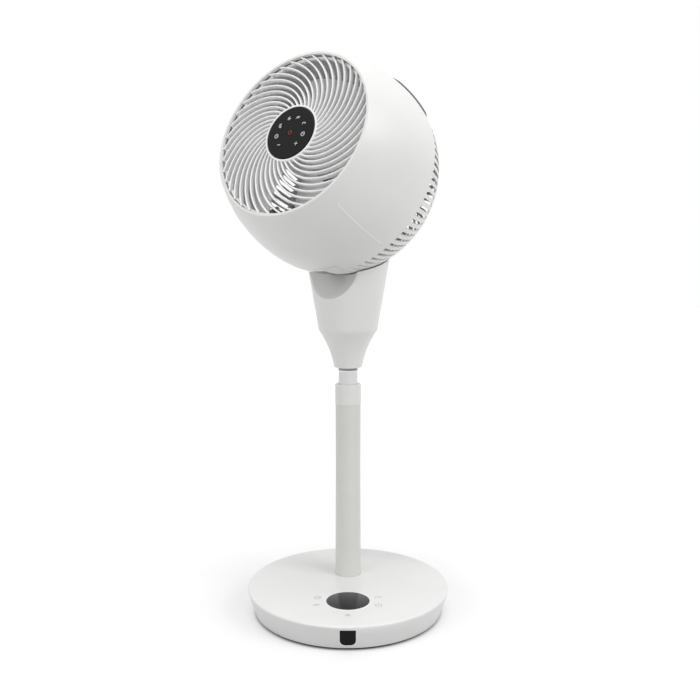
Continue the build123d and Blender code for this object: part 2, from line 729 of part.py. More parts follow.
with BuildPart() as neck_frame:
    disc(PAN_HUB_R, frame_low_z, web_top_z)
    disc(FRAME_WEB_R, FRAME_WEB_Z, web_top_z)
    disc(FRAME_TOP_R, FRAME_TOP_Z - FRAME_TOP_T, FRAME_TOP_Z)
    for angle in FRAME_POST_ANGLES:
        post_x = FRAME_POST_RING_R * cos(radians(angle))
        post_y = FRAME_POST_RING_R * sin(radians(angle))
        disc(FRAME_POST_R, web_top_z, FRAME_TOP_Z - FRAME_TOP_T, post_x, post_y)
    disc(PAN_BUSH_R, frame_low_z, web_top_z, mode=Mode.SUBTRACT)
    with Locations((0, arm_foot_y, FRAME_TOP_Z)):
        with GridLocations(2 * ARM_SCREW_X, 2 * ARM_SCREW_Y, 2, 2):
            Cylinder(SCREW_R, 4 * FRAME_TOP_T, mode=Mode.SUBTRACT)
write(neck_frame, "neck_frame", neck_place)

with BuildPart() as pan_bushes:
    disc(PAN_BUSH_R, frame_low_z, frame_low_z + PAN_BUSH_H)
    disc(PAN_BUSH_R, web_top_z - PAN_BUSH_H, web_top_z)
    disc(SPINDLE_R + RUN, frame_low_z, web_top_z, mode=Mode.SUBTRACT)
write(pan_bushes, "pan_bushes", neck_place)

with BuildPart() as pan_motor:
    disc(STEPPER_R, pan_motor_z, pan_motor_z + STEPPER_H, pan_centres)
    disc(STEPPER_SHAFT_R + RUN, pan_motor_z, pan_motor_z + STEPPER_H / 2, pan_centres, mode=Mode.SUBTRACT)
write(pan_motor, "pan_motor", neck_place)

with BuildPart() as pan_pinion:
    extrude(gear_face(PINION_TEETH, 180 / PINION_TEETH), amount=GEAR_T)
    disc(STEPPER_SHAFT_R, 0, pan_motor_z + STEPPER_H / 2 - GAP - pan_gear_z)
pan_pinion_place = neck_place.offset(pan_gear_z).shift_origin(
    neck_place.from_local_coords((pan_centres, 0, pan_gear_z))
)
write(pan_pinion, "pan_pinion", pan_pinion_place)

with BuildPart() as tilt_arm:
    add(arm_bar(0, 0, (PIVOT_Z - FRAME_TOP_Z) / cos(radians(ARM_LEAN))))
    block(
        (-ARM_FOOT_W / 2, arm_foot_y - ARM_FOOT_L / 2, FRAME_TOP_Z),
        (ARM_FOOT_W / 2, arm_foot_y + ARM_FOOT_L / 2, arm_foot_top_z),
    )
    block(
        (-FRAME_TOP_R, -FRAME_TOP_R, FRAME_TOP_Z - 6 * ARM_FOOT_T),
        (FRAME_TOP_R, FRAME_TOP_R, FRAME_TOP_Z),
        mode=Mode.SUBTRACT,
    )
    cross_disc(ARM_BOSS_R, -ARM_HALF_T, ARM_HALF_T, PIVOT_Y, PIVOT_Z)
    cross_disc(TILT_BUSH_R, -ARM_HALF_T, ARM_HALF_T, PIVOT_Y, PIVOT_Z, Mode.SUBTRACT)
    cross_disc(
        STEPPER_SHAFT_R + GAP,
        -ARM_HALF_T,
        ARM_HALF_T,
        tilt_motor_y,
        tilt_motor_z,
        Mode.SUBTRACT,
    )
    with Locations((0, arm_foot_y, arm_foot_top_z)):
        with GridLocations(2 * ARM_SCREW_X, 2 * ARM_SCREW_Y, 2, 2):
            Cylinder(SCREW_R + GAP, 4 * ARM_FOOT_T, mode=Mode.SUBTRACT)
write(tilt_arm, "tilt_arm", neck_place)

with BuildPart() as neck_screws:
    with Locations((0, arm_foot_y, arm_foot_top_z)):
        with GridLocations(2 * ARM_SCREW_X, 2 * ARM_SCREW_Y, 2, 2):
            add(screw(length=ARM_FOOT_T + FRAME_TOP_T).rotate(Axis.X, 180))
write(neck_screws, "neck_screws", neck_place)

with BuildPart() as tilt_bushes:
    cross_disc(TILT_BUSH_R, -ARM_HALF_T, TILT_BUSH_L - ARM_HALF_T, PIVOT_Y, PIVOT_Z)
    cross_disc(TILT_BUSH_R, ARM_HALF_T - TILT_BUSH_L, ARM_HALF_T, PIVOT_Y, PIVOT_Z)
    cross_disc(AXLE_R + RUN, -ARM_HALF_T, ARM_HALF_T, PIVOT_Y, PIVOT_Z, Mode.SUBTRACT)
write(tilt_bushes, "tilt_bushes", neck_place)

with BuildPart() as tilt_motor:
    cross_disc(STEPPER_R, ARM_HALF_T, ARM_HALF_T + STEPPER_H, tilt_motor_y, tilt_motor_z)
    cross_disc(
        STEPPER_SHAFT_R + RUN,
        ARM_HALF_T,
        ARM_HALF_T + STEPPER_H / 2,
        tilt_motor_y,
        tilt_motor_z,
        Mode.SUBTRACT,
    )
write(tilt_motor, "tilt_motor", neck_place)

# The pinion is drawn about +Z, which its place turns to the viewer's left of the neck.
pinion_place = Plane(
    origin=neck_place.from_local_coords((-ear_out_x, tilt_motor_y, tilt_motor_z)),
    x_dir=neck_place.y_dir,
    z_dir=-neck_place.x_dir,
)
with BuildPart() as tilt_pinion:
    # A gap between two teeth points at the tilt axis, above the motor and in front of it.
    extrude(gear_face(PINION_TEETH, 270 - ARM_LEAN + 180 / PINION_TEETH), amount=SECTOR_T)
    disc(STEPPER_SHAFT_R, -(ear_out_x + ARM_HALF_T + STEPPER_H / 2 - GAP), 0)
write(tilt_pinion, "tilt_pinion", pinion_place)


# ------------------------------------------------------------------ head shell
def drum_r(z, inset=0.0):
    """Radius of the drum's outer form at a height in front of the head's centre."""
    return drum_arc_x + sqrt((drum_arc_r - inset) ** 2 - z**2)


def head_form(inset, low, high):
    """The head's outer form drawn in by a wall, between two heights along its axis."""
    ball_r = HEAD_R - inset
    with BuildPart() as form:
        with BuildSketch(Plane.XZ):
            with BuildLine():
                ThreePointArc(
                    (0, -ball_r), (ball_r * sin(pi / 4), -ball_r * cos(pi / 4)), (ball_r, 0)
                )
                ThreePointArc(
                    (ball_r, 0),
                    (drum_r(RIM_Z / 2, inset), RIM_Z / 2),
                    (drum_r(RIM_Z, inset), RIM_Z),
                )
                Polyline((drum_r(RIM_Z, inset), RIM_Z), (0, RIM_Z), (0, -ball_r))
            make_face()
        revolve(axis=Axis.Z)
        block((-2 * HEAD_R, -2 * HEAD_R, low), (2 * HEAD_R, 2 * HEAD_R, high), Mode.INTERSECT)
    return form.part


def handle_face(inset):
    """Plan of the handle's place, looking down on the head's top: X across, Y along its axis."""
    half_front = HANDLE_FRONT_HALF_W - inset
    half_side = HANDLE_HALF_W - inset
    half_back = HANDLE_BACK_HALF_W - inset
    front_left = (-half_front, HANDLE_FRONT_Z - inset)
    front_right = (half_front, HANDLE_FRONT_Z - inset)
    with BuildSketch() as plan:
        with BuildLine():
            ThreePointArc(front_left, (0, HANDLE_MIDDLE_Z - inset), front_right)
            Polyline(
                front_right,
                (half_side, HANDLE_SIDE_Z - inset),
                (half_side, HANDLE_BAR_BACK_Z),
                (half_back, HANDLE_BACK_Z + inset),
                (-half_back, HANDLE_BACK_Z + inset),
                (-half_side, HANDLE_BAR_BACK_Z),
                (-half_side, HANDLE_SIDE_Z - inset),
                front_left,
            )
        make_face()
    return plan.sketch


# Looking down on the head: sketch X is the head's X, sketch Y is the head's axis.
handle_plane = Plane(origin=(0, 0, 0), x_dir=(1, 0, 0), z_dir=(0, -1, 0))


def handle_block(inset, low_r, high_r):
    """What lies in the handle's place between two radii about the head's centre."""
    with BuildPart() as piece:
        plan_plane = handle_plane.offset(-HANDLE_LOW_Y - inset)
        extrude(plan_plane.location * handle_face(inset), amount=-2 * HEAD_R)
        add(head_form(HEAD_R - high_r, -HEAD_R, RIM_Z), mode=Mode.INTERSECT)
        Sphere(low_r, mode=Mode.SUBTRACT)
    return piece.part


def ball_shell(low_r, high_r):
    """What lies between two radii about the head's centre."""
    with BuildPart() as shell:
        Sphere(high_r)
        Sphere(low_r, mode=Mode.SUBTRACT)
    return shell.part


def belly_block(half_w, low_r, high_r, front_z, back_y):
    """A strip of the head's underside between two radii, from near its middle to near its back."""
    with BuildPart() as piece:
        block((-half_w, -2 * HEAD_R, -2 * HEAD_R), (half_w, back_y, front_z))
        add(ball_shell(low_r, high_r), mode=Mode.INTERSECT)
    return piece.part


def slot_wedge(half_w, first, last, low_r, high_r):
    """A slot along the head's middle plane, between two angles from its front."""
    with BuildPart() as piece:
        with BuildSketch(Plane.YZ):
            with BuildLine():
                corners = [(0, 0)]
                for step in range(5):
                    angle = radians(first + (last - first) * step / 4)
                    corners.append((-2 * high_r * sin(angle), 2 * high_r * cos(angle)))
                Polyline(*corners, close=True)
            make_face()
        extrude(amount=half_w, both=True)
        add(ball_shell(low_r, high_r), mode=Mode.INTERSECT)
    return piece.part


def swept_face(inner_r, outer_r, start, sweep, low_w, share=0.0, steps=3):
    """A bar or slot that turns steadily as it runs outwards, drawn with two splines.

    Its width is low_w, or a share of the room that its neighbours leave it where that is more.
    """
    sides = ([], [])
    for step in range(steps + 1):
        r = inner_r + (outer_r - inner_r) * step / steps
        angle = radians(start + sweep * (r - inner_r))
        # the line's direction, from its radial and turning parts
        turn = radians(sweep) * r
        size = hypot(1, turn)
        radial = (cos(angle), sin(angle))
        across = (-sin(angle), cos(angle))
        along = [(a + turn * b) / size for a, b in zip(radial, across)]
        half = max(low_w, share * r / size) / 2
        x, y = r * radial[0], r * radial[1]
        sides[0].append((x - half * along[1], y + half * along[0]))
        sides[1].append((x + half * along[1], y - half * along[0]))
    with BuildSketch() as outline:
        with BuildLine():
            Spline(*sides[0])
            Line(sides[0][-1], sides[1][-1])
            Spline(*reversed(sides[1]))
            Line(sides[1][0], sides[0][0])
        make_face()
    return outline.sketch


# The carry handle's place, the belly strip's place and the arm's slot.
handle_space = handle_block(0, handle_floor_r, 2 * HEAD_R)
belly_space = belly_block(
    BELLY_HALF_W, shell_r - SHELL_WALL, 2 * HEAD_R, BELLY_FRONT_Z, BELLY_BACK_Y
)
arm_slot = slot_wedge(
    ARM_HALF_T + ARM_SLOT_SIDE,
    arm_angle_low - arm_half_angle,
    arm_angle_high + arm_half_angle,
    HEAD_R / 2,
    HEAD_R + CUT_PAST,
)
flange_gap = belly_block(
    BELLY_HALF_W + BELLY_LIP_W + GAP, HEAD_R / 2, 2 * HEAD_R, BELLY_FRONT_Z, 0
)


def flange_holes(radius, low, high):
    """The holes of the screws that join the drum to the rear grille."""
    for x, y in housing_screws:
        disc(radius, low, high, x, y, Mode.SUBTRACT)


def flange_ring(low, high):
    """The inner ring of one housing half, with its screw tabs, open behind the belly strip."""
    tab_r = HOUSING_SCREW_RING_R - SCREW_TAB_HALF_W
    with BuildPart() as ring:
        add(head_form(SHELL_WALL, low, high))
        disc(shell_r - FLANGE_W, low, high, mode=Mode.SUBTRACT)
        for angle in HOUSING_SCREW_ANGLES:
            with Locations(Location((0, 0, low), (0, 0, angle)) * Location((tab_r, 0, 0))):
                Box(
                    shell_r - FLANGE_W / 2 - tab_r,
                    2 * SCREW_TAB_HALF_W,
                    high - low,
                    align=(Align.MIN, Align.CENTER, Align.MIN),
                )
        add(flange_gap, mode=Mode.SUBTRACT)
    return ring.part


with BuildPart() as grille_ledge:
    add(head_form(SHELL_WALL, LEDGE_Z - LEDGE_T, LEDGE_Z))
    disc(DUCT_R, LEDGE_Z - LEDGE_T, LEDGE_Z, mode=Mode.SUBTRACT)

with BuildPart() as side_seam:
    block(
        (HEAD_R / 2, -SIDE_SEAM_W / 2, SIDE_SEAM_BACK_Z),
        (2 * HEAD_R, SIDE_SEAM_W / 2, SIDE_SEAM_FRONT_Z),
    )
    add(head_form(SIDE_SEAM_DEPTH, -HEAD_R, RIM_Z), mode=Mode.SUBTRACT)

with BuildPart() as drum_shell:
    add(head_form(0, SEAM_Z, RIM_Z))
    fillet(drum_shell.edges().group_by(Axis.Z)[-1], RIM_EDGE)
    add(head_form(SHELL_WALL, SEAM_Z, RIM_Z - RIM_DEPTH), mode=Mode.SUBTRACT)
    disc(RIM_R - RIM_LIP, SEAM_Z, RIM_Z, mode=Mode.SUBTRACT)
    add(grille_ledge.part)
    add(flange_ring(SEAM_Z, SEAM_Z + FLANGE_T))
    flange_holes(SCREW_R, SEAM_Z, SEAM_Z + FLANGE_T)
    add(handle_space, mode=Mode.SUBTRACT)
    add(belly_space, mode=Mode.SUBTRACT)
    for angle in (SIDE_SEAM_ANGLE, 180 - SIDE_SEAM_ANGLE):
        add(side_seam.part.rotate(Axis.Z, angle), mode=Mode.SUBTRACT)
write(drum_shell, "drum_shell", head_place)


def slot_is_clear(inner_r, outer_r, start, sweep):
    """Whether a rear slot keeps clear of the belly strip."""
    for step in range(9):
        r = inner_r + (outer_r - inner_r) * step / 8
        angle = radians(start + sweep * (r - inner_r))
        x, y = r * cos(angle), r * sin(angle)
        if abs(x) < BELLY_HALF_W + REAR_BORDER and y < BELLY_BACK_Y + REAR_BORDER:
            return False
    return True


def rear_slots():
    """Outlines of the rear grille's slots, in rings round its middle."""
    handle_r = sqrt(HEAD_R**2 - (HANDLE_BACK_Z - REAR_BORDER) ** 2)
    with BuildSketch() as slots:
        for inner_r, band_r, count, turn, first in REAR_BANDS:
            for place in range(count):
                start = first + 360 * place / count
                end = radians(start + turn)
                outer_r = band_r
                beside = abs(band_r * cos(end)) > HANDLE_HALF_W + REAR_BORDER
                if sin(end) > 0 and not beside:
                    outer_r = min(band_r, handle_r)
                sweep = turn / (band_r - inner_r)
                if slot_is_clear(inner_r, outer_r, start, sweep):
                    share = 2 * pi / count * REAR_SLOT_SHARE
                    add(swept_face(inner_r, outer_r, start, sweep, REAR_SLOT_MIN_W, share))
    return slots.sketch


with BuildPart() as rear_grille:
    add(head_form(0, -HEAD_R, SEAM_Z))
    add(head_form(SHELL_WALL, -HEAD_R, SEAM_Z), mode=Mode.SUBTRACT)
    extrude(
        Location((0, 0, SEAM_Z - REAR_RIM)) * rear_slots(), amount=-HEAD_R, mode=Mode.SUBTRACT
    )
    add(flange_ring(SEAM_Z - FLANGE_T, SEAM_Z))
    flange_holes(WELL_R, -HEAD_R, SEAM_Z - FLANGE_T)
    flange_holes(SCREW_R + GAP, SEAM_Z - FLANGE_T, SEAM_Z)
    add(handle_space, mode=Mode.SUBTRACT)
    add(belly_space, mode=Mode.SUBTRACT)
write(rear_grille, "rear_grille", head_place)


def belly_outline(outset, low_r, high_r):
    """The belly strip's outline, grown all round, between two radii."""
    return belly_block(
        BELLY_HALF_W + outset, low_r, high_r, BELLY_FRONT_Z + outset, BELLY_BACK_Y + outset
    )


with BuildPart() as belly_strip:
    add(belly_outline(BELLY_LIP_W, shell_r - BELLY_LIP_T, shell_r))
    add(belly_outline(-BELLY_LIP_W, shell_r - BELLY_LIP_T, shell_r), mode=Mode.SUBTRACT)
    add(belly_outline(-BELLY_GAP, shell_r, HEAD_R))
    add(arm_slot, mode=Mode.SUBTRACT)
write(belly_strip, "belly_strip", head_place)

with BuildPart() as handle_pocket:
    add(handle_block(GAP, handle_floor_r, HEAD_R + HANDLE_PROUD))
    add(
        handle_block(GAP + HANDLE_WALL, handle_floor_r + HANDLE_WALL, 2 * HEAD_R),
        mode=Mode.SUBTRACT,
    )
write(handle_pocket, "handle_pocket", head_place)

with BuildPart() as carry_handle:
    add(handle_block(GAP + HANDLE_WALL, HEAD_R - HANDLE_BAR_T, HEAD_R + HANDLE_PROUD))
    block((-HEAD_R, 0, HANDLE_BAR_BACK_Z), (HEAD_R, 2 * HEAD_R, RIM_Z), Mode.INTERSECT)
write(carry_handle, "carry_handle", head_place)

with BuildPart() as front_grille:
    disc(HUB_R + HUB_WALL, HUB_BACK_Z, HUB_FRONT_Z)
    disc(HUB_R, dock_z, HUB_FRONT_Z, mode=Mode.SUBTRACT)
    with BuildSketch(Plane.XY.offset(BAR_BACK_Z)):
        with PolarLocations(0, BAR_COUNT):
            add(swept_face(HUB_R + HUB_WALL / 2, RIM_R, BAR_START, BAR_SWEEP, BAR_W))
        Circle(grille_r, mode=Mode.INTERSECT)
    extrude(amount=BAR_FRONT_Z - BAR_BACK_Z)
    with BuildSketch(Plane.XY.offset(LEDGE_Z)):
        Circle(grille_r)
        Circle(grille_r - GRILLE_RING_W, mode=Mode.SUBTRACT)
    extrude(amount=GRILLE_RING_T)
write(front_grille, "front_grille", head_place)

# ------------------------------------------------------------------ fan inside the head
with BuildPart() as fan_duct:
    bell_r = DUCT_R + BELL_R
    with BuildSketch(Plane.XZ):
        with BuildLine():
            duct_front_z = LEDGE_Z - LEDGE_T
            outer_bell = BELL_R * cos(pi / 4)
            inner_bell = (BELL_R - DUCT_WALL) * cos(pi / 4)
            Polyline((DUCT_R, duct_front_z), (DUCT_R, DUCT_BACK_Z))
            ThreePointArc(
                (DUCT_R, DUCT_BACK_Z),
                (bell_r - outer_bell, DUCT_BACK_Z - outer_bell),
                (bell_r, DUCT_BACK_Z - BELL_R),
            )
            Line((bell_r, DUCT_BACK_Z - BELL_R), (bell_r, DUCT_BACK_Z - BELL_R + DUCT_WALL))
            ThreePointArc(
                (bell_r, DUCT_BACK_Z - BELL_R + DUCT_WALL),
                (bell_r - inner_bell, DUCT_BACK_Z - inner_bell),
                (DUCT_R + DUCT_WALL, DUCT_BACK_Z),
            )
            Polyline(
                (DUCT_R + DUCT_WALL, DUCT_BACK_Z),
                (DUCT_R + DUCT_WALL, duct_front_z),
                (DUCT_R, duct_front_z),
            )
        make_face()
    revolve(axis=Axis.Z)
write(fan_duct, "fan_duct", head_place)

with BuildPart() as motor_mount:
    disc(DUCT_R, DUCT_BACK_Z, SPOKE_FRONT_Z)
    disc(DUCT_R - STATOR_RING_W, DUCT_BACK_Z, SPOKE_FRONT_Z, mode=Mode.SUBTRACT)
    with PolarLocations(0, SPOKE_COUNT):
        with Locations((CUP_R - CUP_WALL, 0, SPOKE_BACK_Z)):
            Box(
                DUCT_R - STATOR_RING_W / 2 - CUP_R + CUP_WALL,
                SPOKE_W,
                SPOKE_FRONT_Z - SPOKE_BACK_Z,
                align=(Align.MIN, Align.CENTER, Align.MIN),
            )
    disc(CUP_R, bracket_z, CUP_FRONT_Z)
    disc(CUP_R - CUP_WALL, MOTOR_BACK_Z, CUP_FRONT_Z, mode=Mode.SUBTRACT)
    with PolarLocations(BRACKET_SCREW_RING_R, 4, start_angle=45):
        with Locations((0, 0, bracket_z)):
            Cylinder(SCREW_R, 2 * CUP_FLOOR_T, mode=Mode.SUBTRACT)
write(motor_mount, "motor_mount", head_place)

with BuildPart() as fan_motor:
    disc(MOTOR_R, MOTOR_BACK_Z, MOTOR_FRONT_Z)
    fillet(fan_motor.edges().group_by(Axis.Z)[-1], MOTOR_EDGE)
    disc(SHAFT_R + RUN, SHAFT_BACK_Z - GAP, MOTOR_FRONT_Z, mode=Mode.SUBTRACT)
write(fan_motor, "fan_motor", head_place)

with BuildPart() as motor_shaft:
    disc(SHAFT_R, SHAFT_BACK_Z, IMPELLER_FRONT_Z + NUT_H + SHAFT_END)
write(motor_shaft, "motor_shaft", head_place)

with BuildPart() as impeller_nut:
    disc(NUT_R, IMPELLER_FRONT_Z, IMPELLER_FRONT_Z + NUT_H)
    fillet(impeller_nut.edges().group_by(Axis.Z)[-1], NUT_EDGE)
    disc(SHAFT_R, IMPELLER_FRONT_Z, IMPELLER_FRONT_Z + NUT_H, mode=Mode.SUBTRACT)
write(impeller_nut, "impeller_nut", head_place)


def impeller_point(r, tip_angle):
    """A point on the line that a blade follows from the hub to its tip, in plan."""
    lean = BLADE_SWEEP * (r - IMPELLER_R) / (IMPELLER_R - IMPELLER_HUB_R)
    angle = radians(tip_angle + lean)
    return (r * cos(angle), r * sin(angle))


blade_root_r = IMPELLER_HUB_R - IMPELLER_HUB_WALL / 2
with BuildPart() as blade:
    # A plate that winds round the hub as it climbs, then cut to the blade's outline.
    for step in range(BLADE_SECTIONS):
        turn = (1 + 2 * BLADE_OVERRUN) * step / (BLADE_SECTIONS - 1) - BLADE_OVERRUN
        tip_angle = BLADE_TIP_ANGLE - BLADE_SPAN * (1 - turn)
        root = Vector(*impeller_point(blade_root_r, tip_angle))
        along = Vector(*impeller_point(IMPELLER_R, tip_angle)) - root
        section = Plane(
            origin=root + Vector(0, 0, BLADE_MID_Z + BLADE_RISE * (turn - 0.5)),
            x_dir=along,
            z_dir=along.cross(Vector(0, 0, 1)),
        )
        with BuildSketch(section):
            with Locations((along.length / 2, 0)):
                Rectangle(along.length + IMPELLER_HUB_WALL, BLADE_T)
    loft()
    with BuildSketch() as blade_outline:
        radii = [blade_root_r + (IMPELLER_R - blade_root_r) * step / 3 for step in range(4)]
        front = [impeller_point(r, BLADE_TIP_ANGLE) for r in radii]
        back = [impeller_point(r, BLADE_TIP_ANGLE - BLADE_SPAN) for r in radii]
        with BuildLine():
            Spline(*front)
            ThreePointArc(
                front[-1], impeller_point(IMPELLER_R, BLADE_TIP_ANGLE - BLADE_SPAN / 2), back[-1]
            )
            Spline(*reversed(back))
            ThreePointArc(
                back[0], impeller_point(blade_root_r, BLADE_TIP_ANGLE - BLADE_SPAN / 2), front[0]
            )
        make_face()
        fillet(blade_outline.vertices().sort_by_distance((0, 0))[-2:], BLADE_CORNER)
    extrude(amount=2 * IMPELLER_FRONT_Z, mode=Mode.INTERSECT)

with BuildPart() as impeller:
    disc(IMPELLER_HUB_R, IMPELLER_BACK_Z, IMPELLER_FRONT_Z)
    fillet(impeller.edges().group_by(Axis.Z)[-1], IMPELLER_EDGE)
    with PolarLocations(0, BLADE_COUNT):
        add(blade.part)
    disc(
        IMPELLER_HUB_R - IMPELLER_HUB_WALL,
        IMPELLER_BACK_Z,
        IMPELLER_FRONT_Z - IMPELLER_HUB_WALL,
        mode=Mode.SUBTRACT,
    )
    disc(IMPELLER_BOSS_R, IMPELLER_FRONT_Z - IMPELLER_BOSS_L, IMPELLER_FRONT_Z)
    disc(SHAFT_R, IMPELLER_BACK_Z, IMPELLER_FRONT_Z, mode=Mode.SUBTRACT)
write(impeller, "impeller", head_place)

# ------------------------------------------------------------------ tilt pivot on the head
with BuildPart() as tilt_bracket:
    disc(BRACKET_R, bracket_z - BRACKET_T, bracket_z)
    for low_x in (-ear_out_x, ear_x):
        block((low_x, -EAR_R, 0), (low_x + EAR_T, EAR_R, bracket_z - BRACKET_T))
        cross_disc(EAR_R, low_x, low_x + EAR_T)
    cross_disc(AXLE_R, -ear_out_x, ear_out_x, mode=Mode.SUBTRACT)
    with PolarLocations(BRACKET_SCREW_RING_R, 4, start_angle=45):
        with Locations((0, 0, bracket_z)):
            Cylinder(SCREW_R + GAP, 4 * BRACKET_T, mode=Mode.SUBTRACT)
write(tilt_bracket, "tilt_bracket", head_place)

with BuildPart() as tilt_axle:
    cross_disc(AXLE_R, -ear_out_x - SECTOR_T, ear_out_x)
    cross_disc(AXLE_HEAD_R, ear_out_x, ear_out_x + AXLE_HEAD_T)
    cross_disc(AXLE_HEAD_R, -ear_out_x - SECTOR_T - AXLE_HEAD_T, -ear_out_x - SECTOR_T)
write(tilt_axle, "tilt_axle", head_place)

with BuildSketch() as sector_wedge:
    # Sketch angles run from the head's top, a quarter turn before its front.
    reach = GEAR_MODULE * SECTOR_TEETH
    first = 90 + arm_angle_low - SECTOR_MARGIN
    last = 90 + arm_angle_high + SECTOR_MARGIN
    with BuildLine():
        CenterArc((0, 0), reach, first, last - first)
        Polyline(
            (reach * cos(radians(last)), reach * sin(radians(last))),
            (0, 0),
            (reach * cos(radians(first)), reach * sin(radians(first))),
        )
    make_face()

with BuildPart() as tilt_sector:
    with BuildSketch(Plane.YZ.offset(-ear_out_x - SECTOR_T)):
        add(gear_face(SECTOR_TEETH, 90 + arm_angle_rest))
        add(sector_wedge.sketch, mode=Mode.INTERSECT)
        Circle(EAR_R)
        Circle(AXLE_R, mode=Mode.SUBTRACT)
    extrude(amount=SECTOR_T)
write(tilt_sector, "tilt_sector", head_place)

with BuildPart() as head_screws:
    short_screw = screw(length=housing_screw_l)
    for x, y in housing_screws:
        with Locations((x, y, SEAM_Z - FLANGE_T)):
            add(short_screw)
    with Locations((0, 0, bracket_z - BRACKET_T)):
        with PolarLocations(BRACKET_SCREW_RING_R, 4, start_angle=45):
            add(short_screw)
write(head_screws, "head_screws", head_place)

# ------------------------------------------------------------------ remote control
remote_low_z = dock_z + RUN
with BuildPart() as remote_case:
    disc(REMOTE_R, remote_low_z, face_z)
    disc(REMOTE_R - REMOTE_WALL, remote_low_z + REMOTE_WALL, face_z, mode=Mode.SUBTRACT)
    disc(BATTERY_COVER_R + GAP / 2, remote_low_z, face_z, mode=Mode.SUBTRACT)
write(remote_case, "remote_case", head_place)

with BuildPart() as battery_cover:
    disc(BATTERY_COVER_R, remote_low_z, remote_low_z + BATTERY_COVER_T)
write(battery_cover, "battery_cover", head_place)

with BuildPart() as battery:
    battery_z = remote_low_z + BATTERY_COVER_T
    disc(BATTERY_R, battery_z, battery_z + BATTERY_T)
write(battery, "battery", head_place)

key_names = ["key_power"]
key_places = [(0.0, 0.0)]
for number in range(8):
    angle = radians(270 + KEY_STEP * (number + 1))
    key_names.append(f"key_{number + 1}")
    key_places.append((KEY_RING_R * cos(angle), KEY_RING_R * sin(angle)))

with BuildPart() as remote_face:
    disc(REMOTE_R, face_z, REMOTE_FRONT_Z)
    fillet(remote_face.edges().group_by(Axis.Z)[-1], REMOTE_EDGE)
    for x, y in key_places:
        disc(KEY_R + KEY_PLAY, face_z, REMOTE_FRONT_Z, x, y, Mode.SUBTRACT)
write(remote_face, "remote_face", head_place)

for name, (x, y) in zip(key_names, key_places):
    with BuildPart() as key:
        flange_top_z = face_z - RUN
        disc(KEY_R + KEY_FLANGE, flange_top_z - KEY_FLANGE_T, flange_top_z, x, y)
        disc(KEY_R, flange_top_z, REMOTE_FRONT_Z + KEY_PROUD, x, y)
    write(key, name, head_place)
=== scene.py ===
import json
import math

import bmesh
import bpy
from mathutils import Matrix, Vector
from mathutils.bvhtree import BVHTree


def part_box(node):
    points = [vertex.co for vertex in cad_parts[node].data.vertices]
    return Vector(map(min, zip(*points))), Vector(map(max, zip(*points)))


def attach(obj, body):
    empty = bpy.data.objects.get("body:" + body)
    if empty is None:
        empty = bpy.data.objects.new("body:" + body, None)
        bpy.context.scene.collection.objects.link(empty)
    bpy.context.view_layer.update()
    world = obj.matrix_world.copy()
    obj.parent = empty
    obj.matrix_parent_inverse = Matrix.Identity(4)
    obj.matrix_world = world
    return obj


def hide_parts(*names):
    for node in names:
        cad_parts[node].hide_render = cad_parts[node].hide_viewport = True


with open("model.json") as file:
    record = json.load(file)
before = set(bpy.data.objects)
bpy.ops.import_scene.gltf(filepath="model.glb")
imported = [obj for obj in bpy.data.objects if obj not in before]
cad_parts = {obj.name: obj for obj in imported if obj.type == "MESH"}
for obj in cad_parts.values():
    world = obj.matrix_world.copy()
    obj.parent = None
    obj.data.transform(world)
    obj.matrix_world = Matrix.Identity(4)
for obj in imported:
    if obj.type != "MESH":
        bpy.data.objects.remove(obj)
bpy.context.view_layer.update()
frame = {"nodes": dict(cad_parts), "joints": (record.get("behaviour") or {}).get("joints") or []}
nodes = frame["nodes"]

# ------------------------------------------------------------------ base cover
# The round base is one white ABS moulding with a flat top, a side that draws in
# towards the floor and a fine spark-eroded texture. Six screws hold it from below.
MERGE = 2e-6  # points nearer to each other than this are one point of the skin
CREASE = math.radians(32)  # edges that turn more than this stay sharp
DRIFT_SCALE = 14.0  # the colour's slow drift
TINT_STOPS = (0.3, 0.7)  # noise below and above these has the darkest and the palest tint


def start_piece():
    """Leave edit mode with nothing selected, so that the next primitive stands alone."""
    if bpy.context.mode != "OBJECT":
        bpy.ops.object.mode_set(mode="OBJECT")
    bpy.ops.object.select_all(action="DESELECT")


def take(piece):
    """Pick up one piece alone, for the tools that work on what is selected."""
    start_piece()
    piece.select_set(True)
    bpy.context.view_layer.objects.active = piece


def new_piece(name, data):
    """Put a new piece on the bench and pick it up."""
    piece = bpy.data.objects.new(name, data)
    bpy.context.scene.collection.objects.link(piece)
    take(piece)
    return piece


def smooth_shade(piece, crease=CREASE):
    """Round shading, with the edges past the crease angle left sharp."""
    take(piece)
    bpy.ops.object.shade_smooth_by_angle(angle=crease)


def settle(piece, name, material, body):
    """Apply a piece's place, name it, and give it its finish and the body that it rides on."""
    take(piece)
    bpy.ops.object.transform_apply(location=True, rotation=True, scale=True)
    piece.name = piece.data.name = name
    piece.data.materials.clear()
    piece.data.materials.append(material)
    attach(piece, body)


def moulding(node, name, material, body):
    """A part with the node's own shape, its skin closed and shaded smooth, which stands for it."""
    piece = new_piece(name, nodes[node].data.copy())
    if piece.data.has_custom_normals:
        bpy.ops.mesh.customdata_custom_splitnormals_clear()
    bpy.ops.object.mode_set(mode="EDIT")
    bpy.ops.mesh.select_all(action="SELECT")
    bpy.ops.mesh.remove_doubles(threshold=MERGE)
    smooth_shade(piece)
    settle(piece, name, material, body)
    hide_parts(node)


def surface(name):
    """A new material, its node tree and its main shader."""
    material = bpy.data.materials.new(name)
    material.use_nodes = True
    return material, material.node_tree, material.node_tree.nodes["Principled BSDF"]


